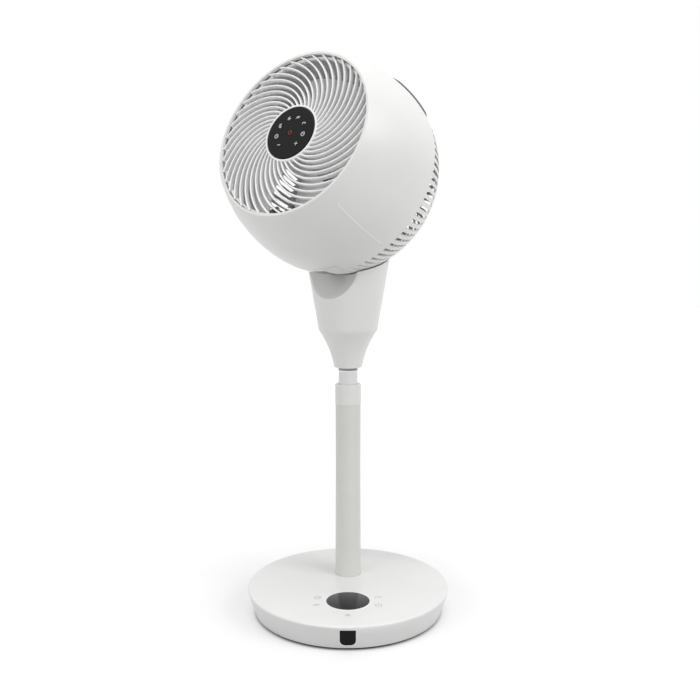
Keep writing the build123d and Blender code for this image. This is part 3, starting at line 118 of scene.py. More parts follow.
def fixed_noise(tree, scale, detail):
    """Noise that stays fixed to the piece."""
    place = tree.nodes.new("ShaderNodeTexCoord")
    noise = tree.nodes.new("ShaderNodeTexNoise")
    noise.inputs["Scale"].default_value = scale
    noise.inputs["Detail"].default_value = detail
    tree.links.new(place.outputs["Object"], noise.inputs["Vector"])
    return noise.outputs["Fac"]


def vary_polish(tree, shader, noise, smoothest, roughest):
    """Let the noise run the roughness from one value to the other."""
    spread = tree.nodes.new("ShaderNodeMapRange")
    spread.inputs["To Min"].default_value = smoothest
    spread.inputs["To Max"].default_value = roughest
    tree.links.new(noise, spread.inputs["Value"])
    tree.links.new(spread.outputs["Result"], shader.inputs["Roughness"])


def cut_texture(tree, shader, noise, strength, depth):
    """Cut the noise into the surface."""
    bump = tree.nodes.new("ShaderNodeBump")
    bump.inputs["Strength"].default_value = strength
    bump.inputs["Distance"].default_value = depth
    tree.links.new(noise, bump.inputs["Height"])
    tree.links.new(bump.outputs["Normal"], shader.inputs["Normal"])


def plastic(name, colour, roughness, grain=0.00035, relief=0.05, mottle=0.015, shine=0.5):
    """Moulded plastic: a slightly uneven colour, and a fine texture cut into its mould."""
    material, tree, shader = surface(name)
    shader.inputs["Specular IOR Level"].default_value = shine
    drift = fixed_noise(tree, DRIFT_SCALE, 3.0)
    tint = tree.nodes.new("ShaderNodeValToRGB")
    shares = (1 - mottle, 1 + mottle)
    for stop, position, share in zip(tint.color_ramp.elements, TINT_STOPS, shares):
        stop.position = position
        stop.color = [min(1, c * share) for c in colour] + [1]
    tree.links.new(drift, tint.inputs["Fac"])
    tree.links.new(tint.outputs["Color"], shader.inputs["Base Color"])
    vary_polish(tree, shader, drift, roughness * 0.9, roughness * 1.12)
    cut_texture(tree, shader, fixed_noise(tree, 1 / grain, 2.0), relief, grain)
    return material


base_white = plastic("base_white_abs", (0.82, 0.82, 0.815), 0.30, relief=0.03)
moulding("base_cover", "base_cover_moulding", base_white, "base")

# ------------------------------------------------------------------ touch display
# A disc of smoked glass lies flush in the base's top, in a thin moulded edge. It is
# polished, and its own edge is ground round.
display_low, display_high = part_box("display_lens")
display_centre = (display_low + display_high) / 2
display_r = (display_high.x - display_low.x) / 2
top_z = display_high.z
ROUND_STEPS = 160  # facets of a large round piece
GROUND_EDGE = 0.0004
TRIM_GAP = 0.0011  # from the glass to the middle of its moulded edge
TRIM_R = 0.0014
TRIM_FLATNESS = 0.35
SMEAR_SCALE = 60.0


def gloss(name, colour, roughness, shine=0.25):
    """Polished dark plastic or glass with faint, wide smears in its shine."""
    material, tree, shader = surface(name)
    shader.inputs["Base Color"].default_value = list(colour) + [1]
    shader.inputs["Specular IOR Level"].default_value = shine
    smear = fixed_noise(tree, SMEAR_SCALE, 4.0)
    vary_polish(tree, shader, smear, roughness * 0.7, roughness * 1.5)
    return material


smoked_glass = gloss("smoked_glass", (0.014, 0.014, 0.015), 0.09, shine=0.22)
start_piece()
bpy.ops.mesh.primitive_cylinder_add(
    vertices=ROUND_STEPS,
    radius=display_r,
    depth=display_high.z - display_low.z,
    location=display_centre,
)
lens = bpy.context.active_object
lens_edge = lens.modifiers.new("ground edge", "BEVEL")
lens_edge.width = GROUND_EDGE
lens_edge.segments = 3
lens_edge.limit_method = "ANGLE"
bpy.ops.object.modifier_apply(modifier="ground edge")
smooth_shade(lens)
settle(lens, "display_glass", smoked_glass, "base")
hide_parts("display_lens")

display_trim = plastic("display_trim_white", (0.90, 0.90, 0.90), 0.22, relief=0.0)
start_piece()
bpy.ops.mesh.primitive_torus_add(
    major_radius=display_r + TRIM_GAP,
    minor_radius=TRIM_R,
    major_segments=ROUND_STEPS,
    minor_segments=12,
    location=(display_centre.x, display_centre.y, top_z),
)
trim = bpy.context.active_object
trim.scale.z = TRIM_FLATNESS
smooth_shade(trim)
settle(trim, "display_edge_ring", display_trim, "base")

# ------------------------------------------------------------------ touch signs
# Five touch signs are printed round the display in grey ink: plain symbols, no words.
# Each is drawn from flat rings and strokes of one width.
PRINT_T = 0.00008  # how far the ink stands up
STROKE_W = 0.0009
TOUCH_SIGN_W = 0.0125
TOUCH_SIGNS = (
    ("clock", -0.0505, -0.062),
    ("waves", -0.0505, -0.092),
    ("swing", 0.0500, -0.063),
    ("power", 0.0500, -0.092),
    ("blades", 0.0000, -0.130),
)


def wrap(shape, rows):
    """Faces between rows of points that each run once round the same outline."""
    for a, b in zip(rows, rows[1:]):
        for i in range(len(a)):
            j = (i + 1) % len(a)
            shape.faces.new((a[i], a[j], b[j], b[i]))


def piece_of(shape, name):
    """A finished bmesh as a piece of its own, with its faces pointing outwards."""
    bmesh.ops.recalc_face_normals(shape, faces=shape.faces)
    mesh = bpy.data.meshes.new(name)
    shape.to_mesh(mesh)
    shape.free()
    return new_piece(name, mesh)


def sign_ring(x, y, z, radius, width, sweep=360.0, start=0.0):
    """A printed ring or part of one, as a thin flat band."""
    inner = radius - width / 2
    outer = radius + width / 2
    band = ((inner, 0), (inner, PRINT_T), (outer, PRINT_T), (outer, 0))
    steps = max(8, int(48 * sweep / 360))
    shape = bmesh.new()
    rows = []
    for step in range(steps + 1):
        a = math.radians(start + sweep * step / steps)
        rows.append(
            [shape.verts.new((x + r * math.cos(a), y + r * math.sin(a), z + h)) for r, h in band]
        )
    wrap(shape, rows)
    if sweep < 360:
        shape.faces.new(reversed(rows[0]))
        shape.faces.new(rows[-1])
    bmesh.ops.remove_doubles(shape, verts=shape.verts, dist=1e-7)
    return piece_of(shape, "ring")


def sign_bar(x, y, z, length, width, angle=0.0):
    """A printed stroke about its middle."""
    start_piece()
    bpy.ops.mesh.primitive_cube_add(size=1, location=(x, y, z + PRINT_T / 2))
    piece = bpy.context.active_object
    piece.scale = (length, width, PRINT_T)
    piece.rotation_euler.z = math.radians(angle)
    bpy.ops.object.transform_apply(location=True, rotation=True, scale=True)
    return piece


def join(pieces, name):
    """Several meshes as one."""
    start_piece()
    for piece in pieces:
        piece.select_set(True)
    bpy.context.view_layer.objects.active = pieces[0]
    if len(pieces) > 1:
        bpy.ops.object.join()
    pieces[0].name = name
    return pieces[0]


def sign(kind, x, y, z, size):
    """The rings and strokes of one plain symbol, size across."""
    half = size / 2
    if kind == "power":
        return [
            sign_ring(x, y, z, half * 0.8, STROKE_W, 290, 125),
            sign_bar(x, y + half * 0.62, z, half * 0.9, STROKE_W, 90),
        ]
    if kind == "clock":
        return [
            sign_ring(x, y, z, half * 0.85, STROKE_W),
            sign_bar(x, y + half * 0.24, z, half * 0.5, STROKE_W, 90),
            sign_bar(x + half * 0.2, y, z, half * 0.45, STROKE_W),
        ]
    if kind == "plus":
        return [sign_bar(x, y, z, size * 0.8, STROKE_W, angle) for angle in (0, 90)]
    if kind == "minus":
        return [sign_bar(x, y, z, size * 0.8, STROKE_W)]
    if kind == "waves":
        crests = [
            sign_ring(x - half * 0.5 + half * k, y - half * 0.9, z, half * 0.9, STROKE_W, 80, 50)
            for k in (-0.1, 0.5)
        ]
        return crests + [sign_bar(x, y + half * 0.45, z, size * 0.75, STROKE_W)]
    if kind == "swing":
        return [
            sign_ring(x, y - half * 0.5, z, half * 1.1, STROKE_W, 100, 40),
            sign_bar(x - half * 0.62, y + half * 0.12, z, half * 0.55, STROKE_W, 70),
            sign_bar(x + half * 0.62, y + half * 0.12, z, half * 0.55, STROKE_W, 110),
        ]
    if kind == "moon":
        return [
            sign_ring(x, y, z, half * 0.8, STROKE_W, 230, 65),
            sign_ring(x + half * 0.45, y + half * 0.2, z, half * 0.62, STROKE_W, 165, 118),
        ]
    strokes = []
    for angle in (0, 72, 144, 216, 288):
        out = half * 0.62 * Vector((math.cos(math.radians(angle)), math.sin(math.radians(angle))))
        strokes.append(sign_bar(x + out.x, y + out.y, z, half * 0.5, STROKE_W, angle))
    return [sign_ring(x, y, z, half * 0.28, STROKE_W)] + strokes


print_grey = plastic("printed_grey", (0.34, 0.34, 0.34), 0.5, relief=0.0, mottle=0.03)
for kind, x, y in TOUCH_SIGNS:
    printed = join(sign(kind, x, y, top_z, TOUCH_SIGN_W), "touch_sign_" + kind)
    settle(printed, "touch_sign_" + kind, print_grey, "base")

# ------------------------------------------------------------------ sensor window
# The remote's beam enters through a dark window in the base's side. It is clear to
# infrared, polished, and sits in a narrow white edge.
WINDOW_GAP = 0.0005  # from the window to the middle of its white edge
WINDOW_CORNER = 0.0095
WINDOW_TRIM_R = 0.0007
SIDE_LOW_R = 0.1605  # the base's radius at SIDE_LOW_Z, from where its side leans out
SIDE_LOW_Z = 0.004
SIDE_HIGH_R = 0.1734
SIDE_H = 0.040
sensor_black = gloss("sensor_window_black", (0.008, 0.008, 0.009), 0.15, shine=0.1)
moulding("ir_window", "sensor_window", sensor_black, "base")


def bead(name, points, radius, material, body):
    """A fine round trim that follows a line of points."""
    line = bpy.data.curves.new(name, "CURVE")
    line.dimensions = "3D"
    line.bevel_depth = radius
    line.bevel_resolution = 3
    line.use_fill_caps = True
    spline = line.splines.new("POLY")
    spline.points.add(len(points) - 1)
    for point, place in zip(spline.points, points):
        point.co = (*place, 1)
    new_piece(name, line)
    bpy.ops.object.convert(target="MESH")
    piece = bpy.context.active_object
    smooth_shade(piece)
    settle(piece, name, material, body)


window_low, window_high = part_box("ir_window")
half_w = (window_high.x - window_low.x) / 2 + WINDOW_GAP
corner_x = half_w - WINDOW_CORNER
corner_z = window_low.z - WINDOW_GAP + WINDOW_CORNER
edge_line = [(-half_w, window_high.z)]
for x, first in ((-corner_x, 180), (corner_x, 270)):
    for a in [math.radians(first + 10 * step) for step in range(10)]:
        edge_line.append((x + WINDOW_CORNER * math.cos(a), corner_z + WINDOW_CORNER * math.sin(a)))
edge_line.append((half_w, window_high.z))
lean = (SIDE_HIGH_R - SIDE_LOW_R) / SIDE_H
window_edge = []
for x, z in edge_line:
    side_r = SIDE_LOW_R + lean * (z - SIDE_LOW_Z)
    window_edge.append((x, -math.sqrt(side_r**2 - x * x), z))
bead("sensor_window_edge", window_edge, WINDOW_TRIM_R, display_trim, "base")

# ------------------------------------------------------------------ base underside
# The plate is black ABS and closes the base. The feet are soft black rubber discs,
# and the screws are zinc-plated steel.
STREAK_SCALE = 400.0
STREAK_DEPTH = 0.0001


def metal(name, colour, roughness):
    """Worked metal with fine marks across it."""
    material, tree, shader = surface(name)
    shader.inputs["Base Color"].default_value = list(colour) + [1]
    shader.inputs["Metallic"].default_value = 1.0
    streaks = fixed_noise(tree, STREAK_SCALE, 5.0)
    vary_polish(tree, shader, streaks, roughness * 0.8, roughness * 1.3)
    cut_texture(tree, shader, streaks, 0.1, STREAK_DEPTH)
    return material


underside_black = plastic("underside_black_abs", (0.03, 0.03, 0.032), 0.5, mottle=0.05)
foot_rubber = plastic("foot_rubber", (0.02, 0.02, 0.02), 0.85, grain=0.0006, relief=0.15)
zinc = metal("zinc_plate", (0.62, 0.63, 0.64), 0.35)
moulding("base_plate", "base_plate_moulding", underside_black, "base")
moulding("rubber_feet", "rubber_feet_pads", foot_rubber, "base")
moulding("base_screws", "base_screws_finished", zinc, "base")

# ------------------------------------------------------------------ base inside
# A painted steel disc weighs the base down, and the pole's cast socket is bolted to it.
# The control board hangs under the display; the remote's receiver and the power inlet
# stand on the disc.
cast_alloy = metal("cast_alloy", (0.55, 0.56, 0.57), 0.5)
ballast_paint = plastic("ballast_black_paint", (0.02, 0.02, 0.02), 0.55, grain=0.001, relief=0.2)
board_green = plastic("circuit_board_green", (0.02, 0.12, 0.06), 0.4)
for node, finish, slot in (
    ("pole_bolts", zinc, "steel"),
    ("ballast_plate", ballast_paint, "ballast"),
    ("pole_socket", cast_alloy, "cast"),
    ("main_board", board_green, "board"),
    ("ir_receiver", underside_black, "dark_moulding"),
    ("dc_inlet", underside_black, "dark_moulding"),
):
    moulding(node, node + "_finished", finish, "base")

# ------------------------------------------------------------------ pole
# Two drawn steel tubes in warm grey and pale grey paint. The inner one slides in a bush
# in the outer one's white collar, and holds the spindle and the gear for the pan.
pole_paint = plastic("pole_warm_grey_paint", (0.72, 0.72, 0.69), 0.42, grain=0.0005, relief=0.03)
mast_paint = plastic("mast_pale_grey_paint", (0.78, 0.78, 0.78), 0.35, grain=0.0005, relief=0.03)
collar_white = plastic("collar_white_abs", (0.80, 0.80, 0.785), 0.35)
acetal = plastic("natural_acetal", (0.72, 0.70, 0.64), 0.35)
# The washer's mid grey is painted shade: it darkens the groove under the neck.
washer_painted_groove_shade = plastic("washer_acetal_painted_groove_shade", (0.35, 0.35, 0.35), 0.5)
moulding("outer_tube", "outer_tube_painted", pole_paint, "base")
moulding("tube_collar", "tube_collar_moulding", collar_white, "base")
moulding("collar_bush", "collar_bush_moulding", acetal, "base")
moulding("inner_tube", "inner_tube_painted", mast_paint, "mast")
moulding("tube_glide", "tube_glide_moulding", acetal, "mast")
moulding("pan_spindle", "pan_spindle_turned", zinc, "mast")
moulding("thrust_washer", "thrust_washer_moulding", washer_painted_groove_shade, "mast")
moulding("pan_gear", "pan_gear_moulding", acetal, "mast")

# ------------------------------------------------------------------ neck
# The neck is two white ABS shells round an inner frame, with a geared motor each for
# the pan and the tilt. The front shell dips in a scoop, where it clears the drum.
housing_white = plastic("housing_white_abs", (0.80, 0.80, 0.79), 0.38)
frame_grey = plastic("inner_frame_grey", (0.40, 0.40, 0.40), 0.5)
motor_grey = metal("motor_can_grey", (0.22, 0.23, 0.24), 0.45)
moulding("neck_front_shell", "neck_front_moulding", housing_white, "neck")
moulding("neck_rear_shell", "neck_rear_moulding", housing_white, "neck")
moulding("neck_frame", "neck_frame_moulding", frame_grey, "neck")
moulding("pan_bushes", "pan_bushes_moulding", acetal, "neck")
moulding("pan_motor", "pan_motor_can", motor_grey, "neck")
moulding("pan_pinion", "pan_pinion_moulding", acetal, "pan_drive")
moulding("tilt_arm", "tilt_arm_casting", cast_alloy, "neck")
moulding("neck_screws", "neck_screws_plated", zinc, "neck")
moulding("tilt_bushes", "tilt_bushes_moulding", acetal, "neck")
moulding("tilt_motor", "tilt_motor_can", motor_grey, "neck")
moulding("tilt_pinion", "tilt_pinion_moulding", acetal, "tilt_drive")

# ------------------------------------------------------------------ head housing
# The drum and the slotted rear grille are two white mouldings that meet in a seam
# behind the middle of the ball. A strip under the head has the slot for the tilt arm.
moulding("drum_shell", "drum_moulding", housing_white, "head")
moulding("rear_grille", "rear_grille_moulding", housing_white, "head")
moulding("belly_strip", "belly_strip_moulding", housing_white, "head")

# ------------------------------------------------------------------ carry handle
# A recess at the top of the head holds a grip bar. Both are dark grey, soft to the
# touch, and their rim stands a little proud of the white shell. Their dark grey is
# partly painted shade: it darkens the recess and the gap in front of the bar, which
# show as a dark line at the head's edge.
# Painted shade: this dark grey stands partly for the shade in the recess and its gap.
dark_grip_and_painted_shade = plastic("soft_touch_dark_grey_and_painted_shade", (0.12, 0.12, 0.12), 0.62, grain=0.0005, relief=0.1)
moulding("handle_pocket", "handle_pocket_moulding", dark_grip_and_painted_shade, "head")
moulding("carry_handle", "carry_handle_moulding", dark_grip_and_painted_shade, "head")

# ------------------------------------------------------------------ drum seams
# A fine light line runs back along each side of the drum. The drum has a narrow
# groove there, and a bead of white plastic fills it.
SEAM_CLOCK = -47.5  # clock angle of the right seam; the left one mirrors it
SEAM_BACK_Z = -0.0125
SEAM_LENGTH = 0.1145
SEAM_POINTS = 40
SEAM_BEAD_R = 0.0010
OUTSIDE_R = 0.3  # well clear of the drum

# The head's own axes start in the tilt pivot: X to its right, Y up, Z forwards.
joints = {joint["name"]: joint for joint in frame["joints"]}
right = -Vector(joints["tilt"]["axis"])
front = Vector(joints["fan_spin"]["axis"])
up = front.cross(right)
pivot = Matrix.Translation(joints["tilt"]["pos_m"])
head_place = pivot @ Matrix((right, up, front)).transposed().to_4x4()
drum = nodes["drum_shell"].data
drum_skin = BVHTree.FromPolygons(
    [vertex.co for vertex in drum.vertices], [list(face.vertices) for face in drum.polygons]
)
for side, clock in (("right", SEAM_CLOCK), ("left", 180 - SEAM_CLOCK)):
    out = Vector((math.cos(math.radians(clock)), math.sin(math.radians(clock)), 0))
    line = []
    for step in range(SEAM_POINTS):
        middle = Vector((0, 0, SEAM_BACK_Z + SEAM_LENGTH * step / (SEAM_POINTS - 1)))
        start = head_place @ (middle + OUTSIDE_R * out)
        line.append(drum_skin.ray_cast(start, (head_place @ middle) - start)[0])
    bead("drum_seam_" + side, line, SEAM_BEAD_R, display_trim, "head")

# ------------------------------------------------------------------ front grille
# The front grille is one white moulding. Forty spiral bars with rounded fronts run
# from the cup that docks the remote to a ring on the drum's ledge.
BAR_COUNT = 40
BAR_HALF_W = 0.0013
BAR_FRONT_Z = 0.1246
BAR_BACK_Z = 0.116
BAR_FRONT_ROUND = 0.0011
BAR_BACK_ROUND = 0.0004
BAR_IN_R = 0.0463
BAR_OUT_R = 0.1346
BAR_START = 0.9  # clock angle where the first bar leaves the cup, degrees
BAR_SWEEP = 690.0  # degrees that a bar turns for each metre outwards
BAR_STEPS = 28
CUP_R = 0.0480
CUP_IN_R = 0.0446
CUP_BACK_Z = 0.112
CUP_FLOOR_Z = 0.116
CUP_FRONT_Z = 0.125
CUP_FOOT = 0.0005  # chamfer at the cup's back
RING_R = 0.1352
RING_IN_R = 0.1306
RING_BACK_Z = 0.1151
RING_FRONT_Z = 0.1185
LIP = 0.0007  # rounding of the cup's and the ring's front edges
LIP_MID = 0.0002  # how far that rounding's middle lies in from both faces
FINE_CREASE = math.radians(40)  # for the rounded bars and blades


def bar_section():
    """A bar's section, across and along the axis, with rounded corners."""
    points = []
    for side, z, r, first in (
        (1, BAR_BACK_Z + BAR_BACK_ROUND, BAR_BACK_ROUND, -90),
        (1, BAR_FRONT_Z - BAR_FRONT_ROUND, BAR_FRONT_ROUND, 0),
        (-1, BAR_FRONT_Z - BAR_FRONT_ROUND, BAR_FRONT_ROUND, 90),
        (-1, BAR_BACK_Z + BAR_BACK_ROUND, BAR_BACK_ROUND, 180),
    ):
        for a in [math.radians(first + 30 * step) for step in range(4)]:
            points.append((side * (BAR_HALF_W - r) + r * math.cos(a), z + r * math.sin(a)))
    return points


def spiral_bar():
    """The first bar: its section swept outwards along a spiral."""
    section = bar_section()
    turn = math.radians(BAR_SWEEP)
    shape = bmesh.new()
    rows = []
    for step in range(BAR_STEPS + 1):
        r = BAR_IN_R + (BAR_OUT_R - BAR_IN_R) * step / BAR_STEPS
        angle = math.radians(BAR_START + BAR_SWEEP * (r - BAR_IN_R))
        radial = Vector((math.cos(angle), math.sin(angle), 0))
        across = Vector((-math.sin(angle), math.cos(angle), 0))
        along = (radial + turn * r * across).normalized()
        side = Vector((along.y, -along.x, 0))
        rows.append(
            [shape.verts.new(r * radial + w * side + Vector((0, 0, z))) for w, z in section]
        )
    wrap(shape, rows)
    shape.faces.new(rows[0])
    shape.faces.new(reversed(rows[-1]))
    return piece_of(shape, "grille_bar")


def round_the_axis(first, count):
    """The first piece and its copies round the head's axis, each with its own mesh."""
    pieces = [first]
    for index in range(1, count):
        mesh = first.data.copy()
        mesh.transform(Matrix.Rotation(math.tau * index / count, 4, "Z"))
        pieces.append(new_piece("%s_%d" % (first.name, index), mesh))
    return pieces


def turned(name, outline):
    """A ring or disc spun about the head's axis from its outline of radius and height."""
    edges = []
    for i in range(len(outline)):
        j = (i + 1) % len(outline)
        if outline[i][0] > 0 or outline[j][0] > 0:
            edges.append((i, j))
    mesh = bpy.data.meshes.new(name)
    mesh.from_pydata([(r, 0, z) for r, z in outline], edges, [])
    piece = new_piece(name, mesh)
    bpy.ops.object.mode_set(mode="EDIT")
    bpy.ops.mesh.select_all(action="SELECT")
    bpy.ops.mesh.spin(steps=ROUND_STEPS, angle=math.tau, center=(0, 0, 0), axis=(0, 0, 1))
    bpy.ops.mesh.select_all(action="SELECT")
    bpy.ops.mesh.remove_doubles(threshold=MERGE)
    bpy.ops.mesh.normals_make_consistent(inside=False)
    start_piece()
    return piece


cup = turned(
    "grille_cup",
    [
        (0, CUP_BACK_Z),
        (CUP_R - CUP_FOOT, CUP_BACK_Z),
        (CUP_R, CUP_BACK_Z + CUP_FOOT),
        (CUP_R, CUP_FRONT_Z - LIP),
        (CUP_R - LIP_MID, CUP_FRONT_Z - LIP_MID),
        (CUP_R - LIP, CUP_FRONT_Z),
        (CUP_IN_R + LIP, CUP_FRONT_Z),
        (CUP_IN_R + LIP_MID, CUP_FRONT_Z - LIP_MID),
        (CUP_IN_R, CUP_FRONT_Z - LIP),
        (CUP_IN_R, CUP_FLOOR_Z),
        (0, CUP_FLOOR_Z),
    ],
)
ring = turned(
    "grille_ring",
    [
        (RING_IN_R, RING_BACK_Z),
        (RING_R, RING_BACK_Z),
        (RING_R, RING_FRONT_Z - LIP),
        (RING_R - LIP, RING_FRONT_Z),
        (RING_IN_R + LIP, RING_FRONT_Z),
        (RING_IN_R, RING_FRONT_Z - LIP),
    ],
)
bars = round_the_axis(spiral_bar(), BAR_COUNT)
grille = join([cup, ring] + bars, "front_grille_moulding")
grille.data.transform(head_place)
smooth_shade(grille, FINE_CREASE)
grille_white = plastic("grille_white_abs", (0.90, 0.90, 0.90), 0.33, relief=0.02)
settle(grille, "front_grille_moulding", grille_white, "head")
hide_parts("front_grille")

# ------------------------------------------------------------------ fan duct and motor
# A grey duct with a bell mouth behind lies round the fan. The motor sits in a cup on
# six spokes, and the tilt bracket is screwed to the back of the cup.
duct_grey = plastic("duct_grey_abs", (0.58, 0.58, 0.585), 0.5)
moulding("fan_duct", "fan_duct_moulding", duct_grey, "head")
moulding("motor_mount", "motor_mount_moulding", duct_grey, "head")
moulding("fan_motor", "fan_motor_can", motor_grey, "head")
moulding("motor_shaft", "motor_shaft_ground", zinc, "fan")
moulding("impeller_nut", "impeller_nut_moulding", underside_black, "fan")
moulding("tilt_bracket", "tilt_bracket_casting", cast_alloy, "head")
moulding("tilt_axle", "tilt_axle_ground", zinc, "head")
moulding("tilt_sector", "tilt_sector_moulding", acetal, "head")
moulding("head_screws", "head_screws_plated", zinc, "head")

# ------------------------------------------------------------------ impeller
# Five white blades with rounded tips wind round a hub with a soft front edge. They are
# one moulding with the hub.
IMPELLER_R = 0.127
HUB_R = 0.044
HUB_IN_R = 0.0418
HUB_BACK_Z = 0.041
HUB_FRONT_Z = 0.084
HUB_FLOOR_Z = 0.0818
HUB_ROUND = 0.005
BOSS_R = 0.010
BOSS_BACK_Z = 0.070
SHAFT_R = 0.004
BLADE_COUNT = 5
BLADE_SPAN = 58.0  # degrees
BLADE_RISE = 0.036
BLADE_MID_Z = 0.062
BLADE_LEAN = 27.0  # degrees that the hub end lies behind the tip
BLADE_TIP = 108.0  # clock angle of one blade's front edge at its tip
BLADE_CORNER = 0.018
BLADE_ROOT_R = HUB_R - 0.0015  # the blades' roots lie in the hub's wall
BLADE_TIP_R = IMPELLER_R - 0.0002
BLADE_WALL = 0.0024
BLADE_SOFT = 0.0009
BLADE_ROWS = 30
BLADE_COLUMNS = 16


def blade_sheet():
    """The first blade as a sheet that climbs and twists from its rear to its front edge."""
    shape = bmesh.new()
    rows = []
    for row in range(BLADE_ROWS + 1):
        turn = row / BLADE_ROWS
        edge = min(turn, 1 - turn) * math.radians(BLADE_SPAN) * IMPELLER_R
        inset = max(0.0, BLADE_CORNER - edge)
        reach = BLADE_TIP_R - BLADE_CORNER + math.sqrt(BLADE_CORNER**2 - inset**2)
        z = BLADE_MID_Z + BLADE_RISE * (turn - 0.5)
        line = []
        for column in range(BLADE_COLUMNS + 1):
            r = BLADE_ROOT_R + (reach - BLADE_ROOT_R) * column / BLADE_COLUMNS
            lean = BLADE_LEAN * (r - IMPELLER_R) / (IMPELLER_R - HUB_R)
            a = math.radians(BLADE_TIP - BLADE_SPAN * (1 - turn) + lean)
            line.append(shape.verts.new((r * math.cos(a), r * math.sin(a), z)))
        rows.append(line)
    for a, b in zip(rows, rows[1:]):
        for i in range(BLADE_COLUMNS):
            shape.faces.new((a[i], a[i + 1], b[i + 1], b[i]))
    return piece_of(shape, "blade")


first_blade = blade_sheet()
wall = first_blade.modifiers.new("wall", "SOLIDIFY")
wall.thickness = BLADE_WALL
wall.offset = 0
bpy.ops.object.modifier_apply(modifier="wall")
soft_edge = first_blade.modifiers.new("soft edge", "BEVEL")
soft_edge.width = BLADE_SOFT
soft_edge.segments = 2
soft_edge.limit_method = "ANGLE"
soft_edge.angle_limit = math.radians(50)
bpy.ops.object.modifier_apply(modifier="soft edge")
hub_edge = [
    (HUB_R - HUB_ROUND + HUB_ROUND * math.cos(a), HUB_FRONT_Z - HUB_ROUND + HUB_ROUND * math.sin(a))
    for a in [math.radians(15 * step) for step in range(7)]
]
hub_inside = [
    (SHAFT_R, HUB_FRONT_Z),
    (SHAFT_R, BOSS_BACK_Z),
    (BOSS_R, BOSS_BACK_Z),
    (BOSS_R, HUB_FLOOR_Z),
    (HUB_IN_R, HUB_FLOOR_Z),
]
hub = turned("impeller_hub", [(HUB_IN_R, HUB_BACK_Z), (HUB_R, HUB_BACK_Z)] + hub_edge + hub_inside)
impeller = join([hub] + round_the_axis(first_blade, BLADE_COUNT), "impeller_moulding")
impeller.data.transform(head_place)
smooth_shade(impeller, FINE_CREASE)
blade_white = plastic("blade_white_abs", (0.90, 0.90, 0.90), 0.3, relief=0.02)
settle(impeller, "impeller_moulding", blade_white, "fan")
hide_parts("impeller")

# ------------------------------------------------------------------ remote control
# The round remote is black ABS with nine keys and docks in the grille's cup. Its signs
# are printed in pale grey, and the power key's in dark red.
KEY_SIGN_W = 0.0076
KEY_SIGNS = {
    "key_power": "power",
    "key_1": "plus",
    "key_2": "clock",
    "key_3": "swing",
    "key_4": "waves",
    "key_5": "blades",
    "key_6": "moon",
    "key_7": "clock",
    "key_8": "minus",
}
remote_black = plastic("remote_black_abs", (0.010, 0.010, 0.011), 0.40, relief=0.02, shine=0.12)
key_black = plastic("key_black_abs", (0.014, 0.014, 0.015), 0.45, relief=0.02, shine=0.12)
moulding("remote_case", "remote_case_moulding", remote_black, "remote")
moulding("remote_face", "remote_face_moulding", remote_black, "remote")
moulding("battery_cover", "battery_cover_moulding", remote_black, "remote")
moulding("battery", "battery_can", zinc, "remote")
print_pale = plastic("printed_pale_grey", (0.72, 0.74, 0.74), 0.5, relief=0.0)
print_red = plastic("printed_red", (0.25, 0.03, 0.02), 0.5, relief=0.0)
to_head = head_place.inverted()
for key, kind in KEY_SIGNS.items():
    moulding(key, key + "_cap", key_black, key)
    low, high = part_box(key)
    seat = to_head @ ((low + high) / 2)
    key_top = max((to_head @ vertex.co).z for vertex in nodes[key].data.vertices)
    printed = join(sign(kind, seat.x, seat.y, key_top, KEY_SIGN_W), key + "_sign")
    printed.data.transform(head_place)
    settle(printed, key + "_sign", print_red if kind == "power" else print_pale, key)

# ------------------------------------------------------------------ camera
# The camera looks slightly down from about the height of the head's lower edge. Its
# place and its focal length were fitted to the photograph.
CAMERA_HEIGHT = 0.625
CAMERA_BACK = 1.416
CAMERA_SIDE = 0.0034
CAMERA_PITCH = 0.122
FOCAL_PX = 850
FRAME_PX = 700
camera_data = bpy.data.cameras.new("camera")
camera_data.sensor_fit = "HORIZONTAL"
camera_data.sensor_width = 36
camera_data.lens = camera_data.sensor_width * FOCAL_PX / FRAME_PX
camera = bpy.data.objects.new("camera", camera_data)
camera.location = (CAMERA_SIDE, -CAMERA_BACK, CAMERA_HEIGHT)
camera.rotation_euler = (math.pi / 2 - CAMERA_PITCH, 0, 0)
bpy.context.scene.collection.objects.link(camera)
bpy.context.scene.camera = camera

# ------------------------------------------------------------------ studio
# A white floor keeps the object's shadow and fades into a white backdrop. Its glow is
# weaker near the base, which paints a shadow round it. Three large softboxes light the
# object from above and from both sides.
FLOOR_SIZE = 14
FLOOR_Z = -0.0002
FLOOR_WHITE = 0.56
# The glow is weaker near the base: a painted shadow round it.
FLOOR_GLOW_AND_PAINTED_SHADOW = ((0.157, 0.0), (0.163, 0.40), (0.5, 0.50), (1.0, 0.8))  # metres out, and the glow
AMBIENT = 0.55


def seen_switch(tree):
    """One for the rays that show the backdrop: seen direct, in a reflection or through glass."""
    path = tree.nodes.new("ShaderNodeLightPath")
    reflected = tree.nodes.new("ShaderNodeMath")
    reflected.operation = "MAXIMUM"
    through = tree.nodes.new("ShaderNodeMath")
    through.operation = "MAXIMUM"
    tree.links.new(path.outputs["Is Camera Ray"], reflected.inputs[0])
    tree.links.new(path.outputs["Is Glossy Ray"], reflected.inputs[1])
    tree.links.new(reflected.outputs["Value"], through.inputs[0])
    tree.links.new(path.outputs["Is Transmission Ray"], through.inputs[1])
    return through.outputs["Value"]


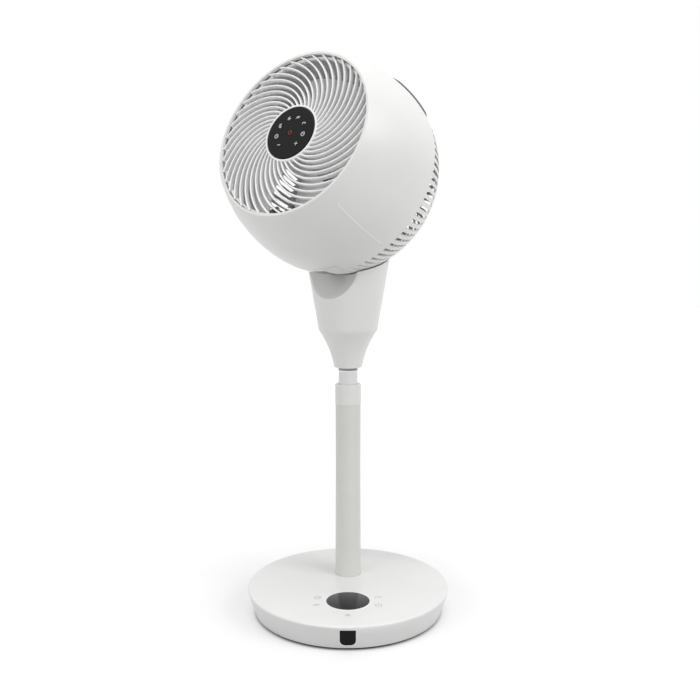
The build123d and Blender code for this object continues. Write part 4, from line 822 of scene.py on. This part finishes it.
def floor_finish():
    """Matt white that glows for the camera alone, more so away from the base. The weaker glow near
    the base paints a shadow round it.
    """
    material, tree, shader = surface("studio_white")
    shader.inputs["Base Color"].default_value = (FLOOR_WHITE, FLOOR_WHITE, FLOOR_WHITE, 1)
    shader.inputs["Roughness"].default_value = 1.0
    shader.inputs["Specular IOR Level"].default_value = 0.0
    place = tree.nodes.new("ShaderNodeTexCoord")
    distance = tree.nodes.new("ShaderNodeVectorMath")
    distance.operation = "LENGTH"
    fade = tree.nodes.new("ShaderNodeValToRGB")
    stops = fade.color_ramp.elements
    while len(stops) < len(FLOOR_GLOW_AND_PAINTED_SHADOW):
        stops.new(0.5)
    for stop, (far, strength) in zip(stops, FLOOR_GLOW_AND_PAINTED_SHADOW):
        stop.position = far
        stop.color = (strength, strength, strength, 1)
    level = tree.nodes.new("ShaderNodeMath")
    level.operation = "MULTIPLY"
    glow = tree.nodes.new("ShaderNodeEmission")
    glow.inputs["Color"].default_value = (1, 1, 1, 1)
    both = tree.nodes.new("ShaderNodeAddShader")
    tree.links.new(place.outputs["Object"], distance.inputs[0])
    tree.links.new(distance.outputs["Value"], fade.inputs["Fac"])
    tree.links.new(seen_switch(tree), level.inputs[0])
    tree.links.new(fade.outputs["Color"], level.inputs[1])
    tree.links.new(level.outputs["Value"], glow.inputs["Strength"])
    tree.links.new(shader.outputs["BSDF"], both.inputs[0])
    tree.links.new(glow.outputs["Emission"], both.inputs[1])
    tree.links.new(both.outputs["Shader"], tree.nodes["Material Output"].inputs["Surface"])
    return material


def softbox(name, place, target, size, watts):
    """A square softbox aimed at a point."""
    data = bpy.data.lights.new(name, "AREA")
    data.size = size
    data.energy = watts
    piece = bpy.data.objects.new(name, data)
    piece.location = place
    piece.rotation_euler = (Vector(target) - Vector(place)).to_track_quat("-Z", "Y").to_euler()
    bpy.context.scene.collection.objects.link(piece)


start_piece()
bpy.ops.mesh.primitive_plane_add(size=FLOOR_SIZE, location=(0, 0, FLOOR_Z))
floor = bpy.context.active_object
floor.name = "studio_floor"
floor.data.materials.append(floor_finish())

world = bpy.data.worlds.new("studio")
world.use_nodes = True
bpy.context.scene.world = world
tree = world.node_tree
ambient = tree.nodes["Background"]
ambient.inputs["Color"].default_value = (1, 1, 1, 1)
ambient.inputs["Strength"].default_value = AMBIENT
backdrop = tree.nodes.new("ShaderNodeBackground")
backdrop.inputs["Color"].default_value = (1, 1, 1, 1)
backdrop.inputs["Strength"].default_value = 1.0
switch = tree.nodes.new("ShaderNodeMixShader")
tree.links.new(seen_switch(tree), switch.inputs["Fac"])
tree.links.new(ambient.outputs["Background"], switch.inputs[1])
tree.links.new(backdrop.outputs["Background"], switch.inputs[2])
tree.links.new(switch.outputs["Shader"], tree.nodes["World Output"].inputs["Surface"])
softbox("overhead_softbox", (0.0, -0.9, 8.0), (0, 0, 0.5), 4.6, 240)
softbox("right_softbox", (2.4, -1.4, 2.3), (0, 0, 0.7), 1.6, 34)
softbox("left_softbox", (-2.4, -2.2, 1.8), (0, 0, 0.6), 1.6, 20)
bpy.context.scene.view_settings.view_transform = "Standard"
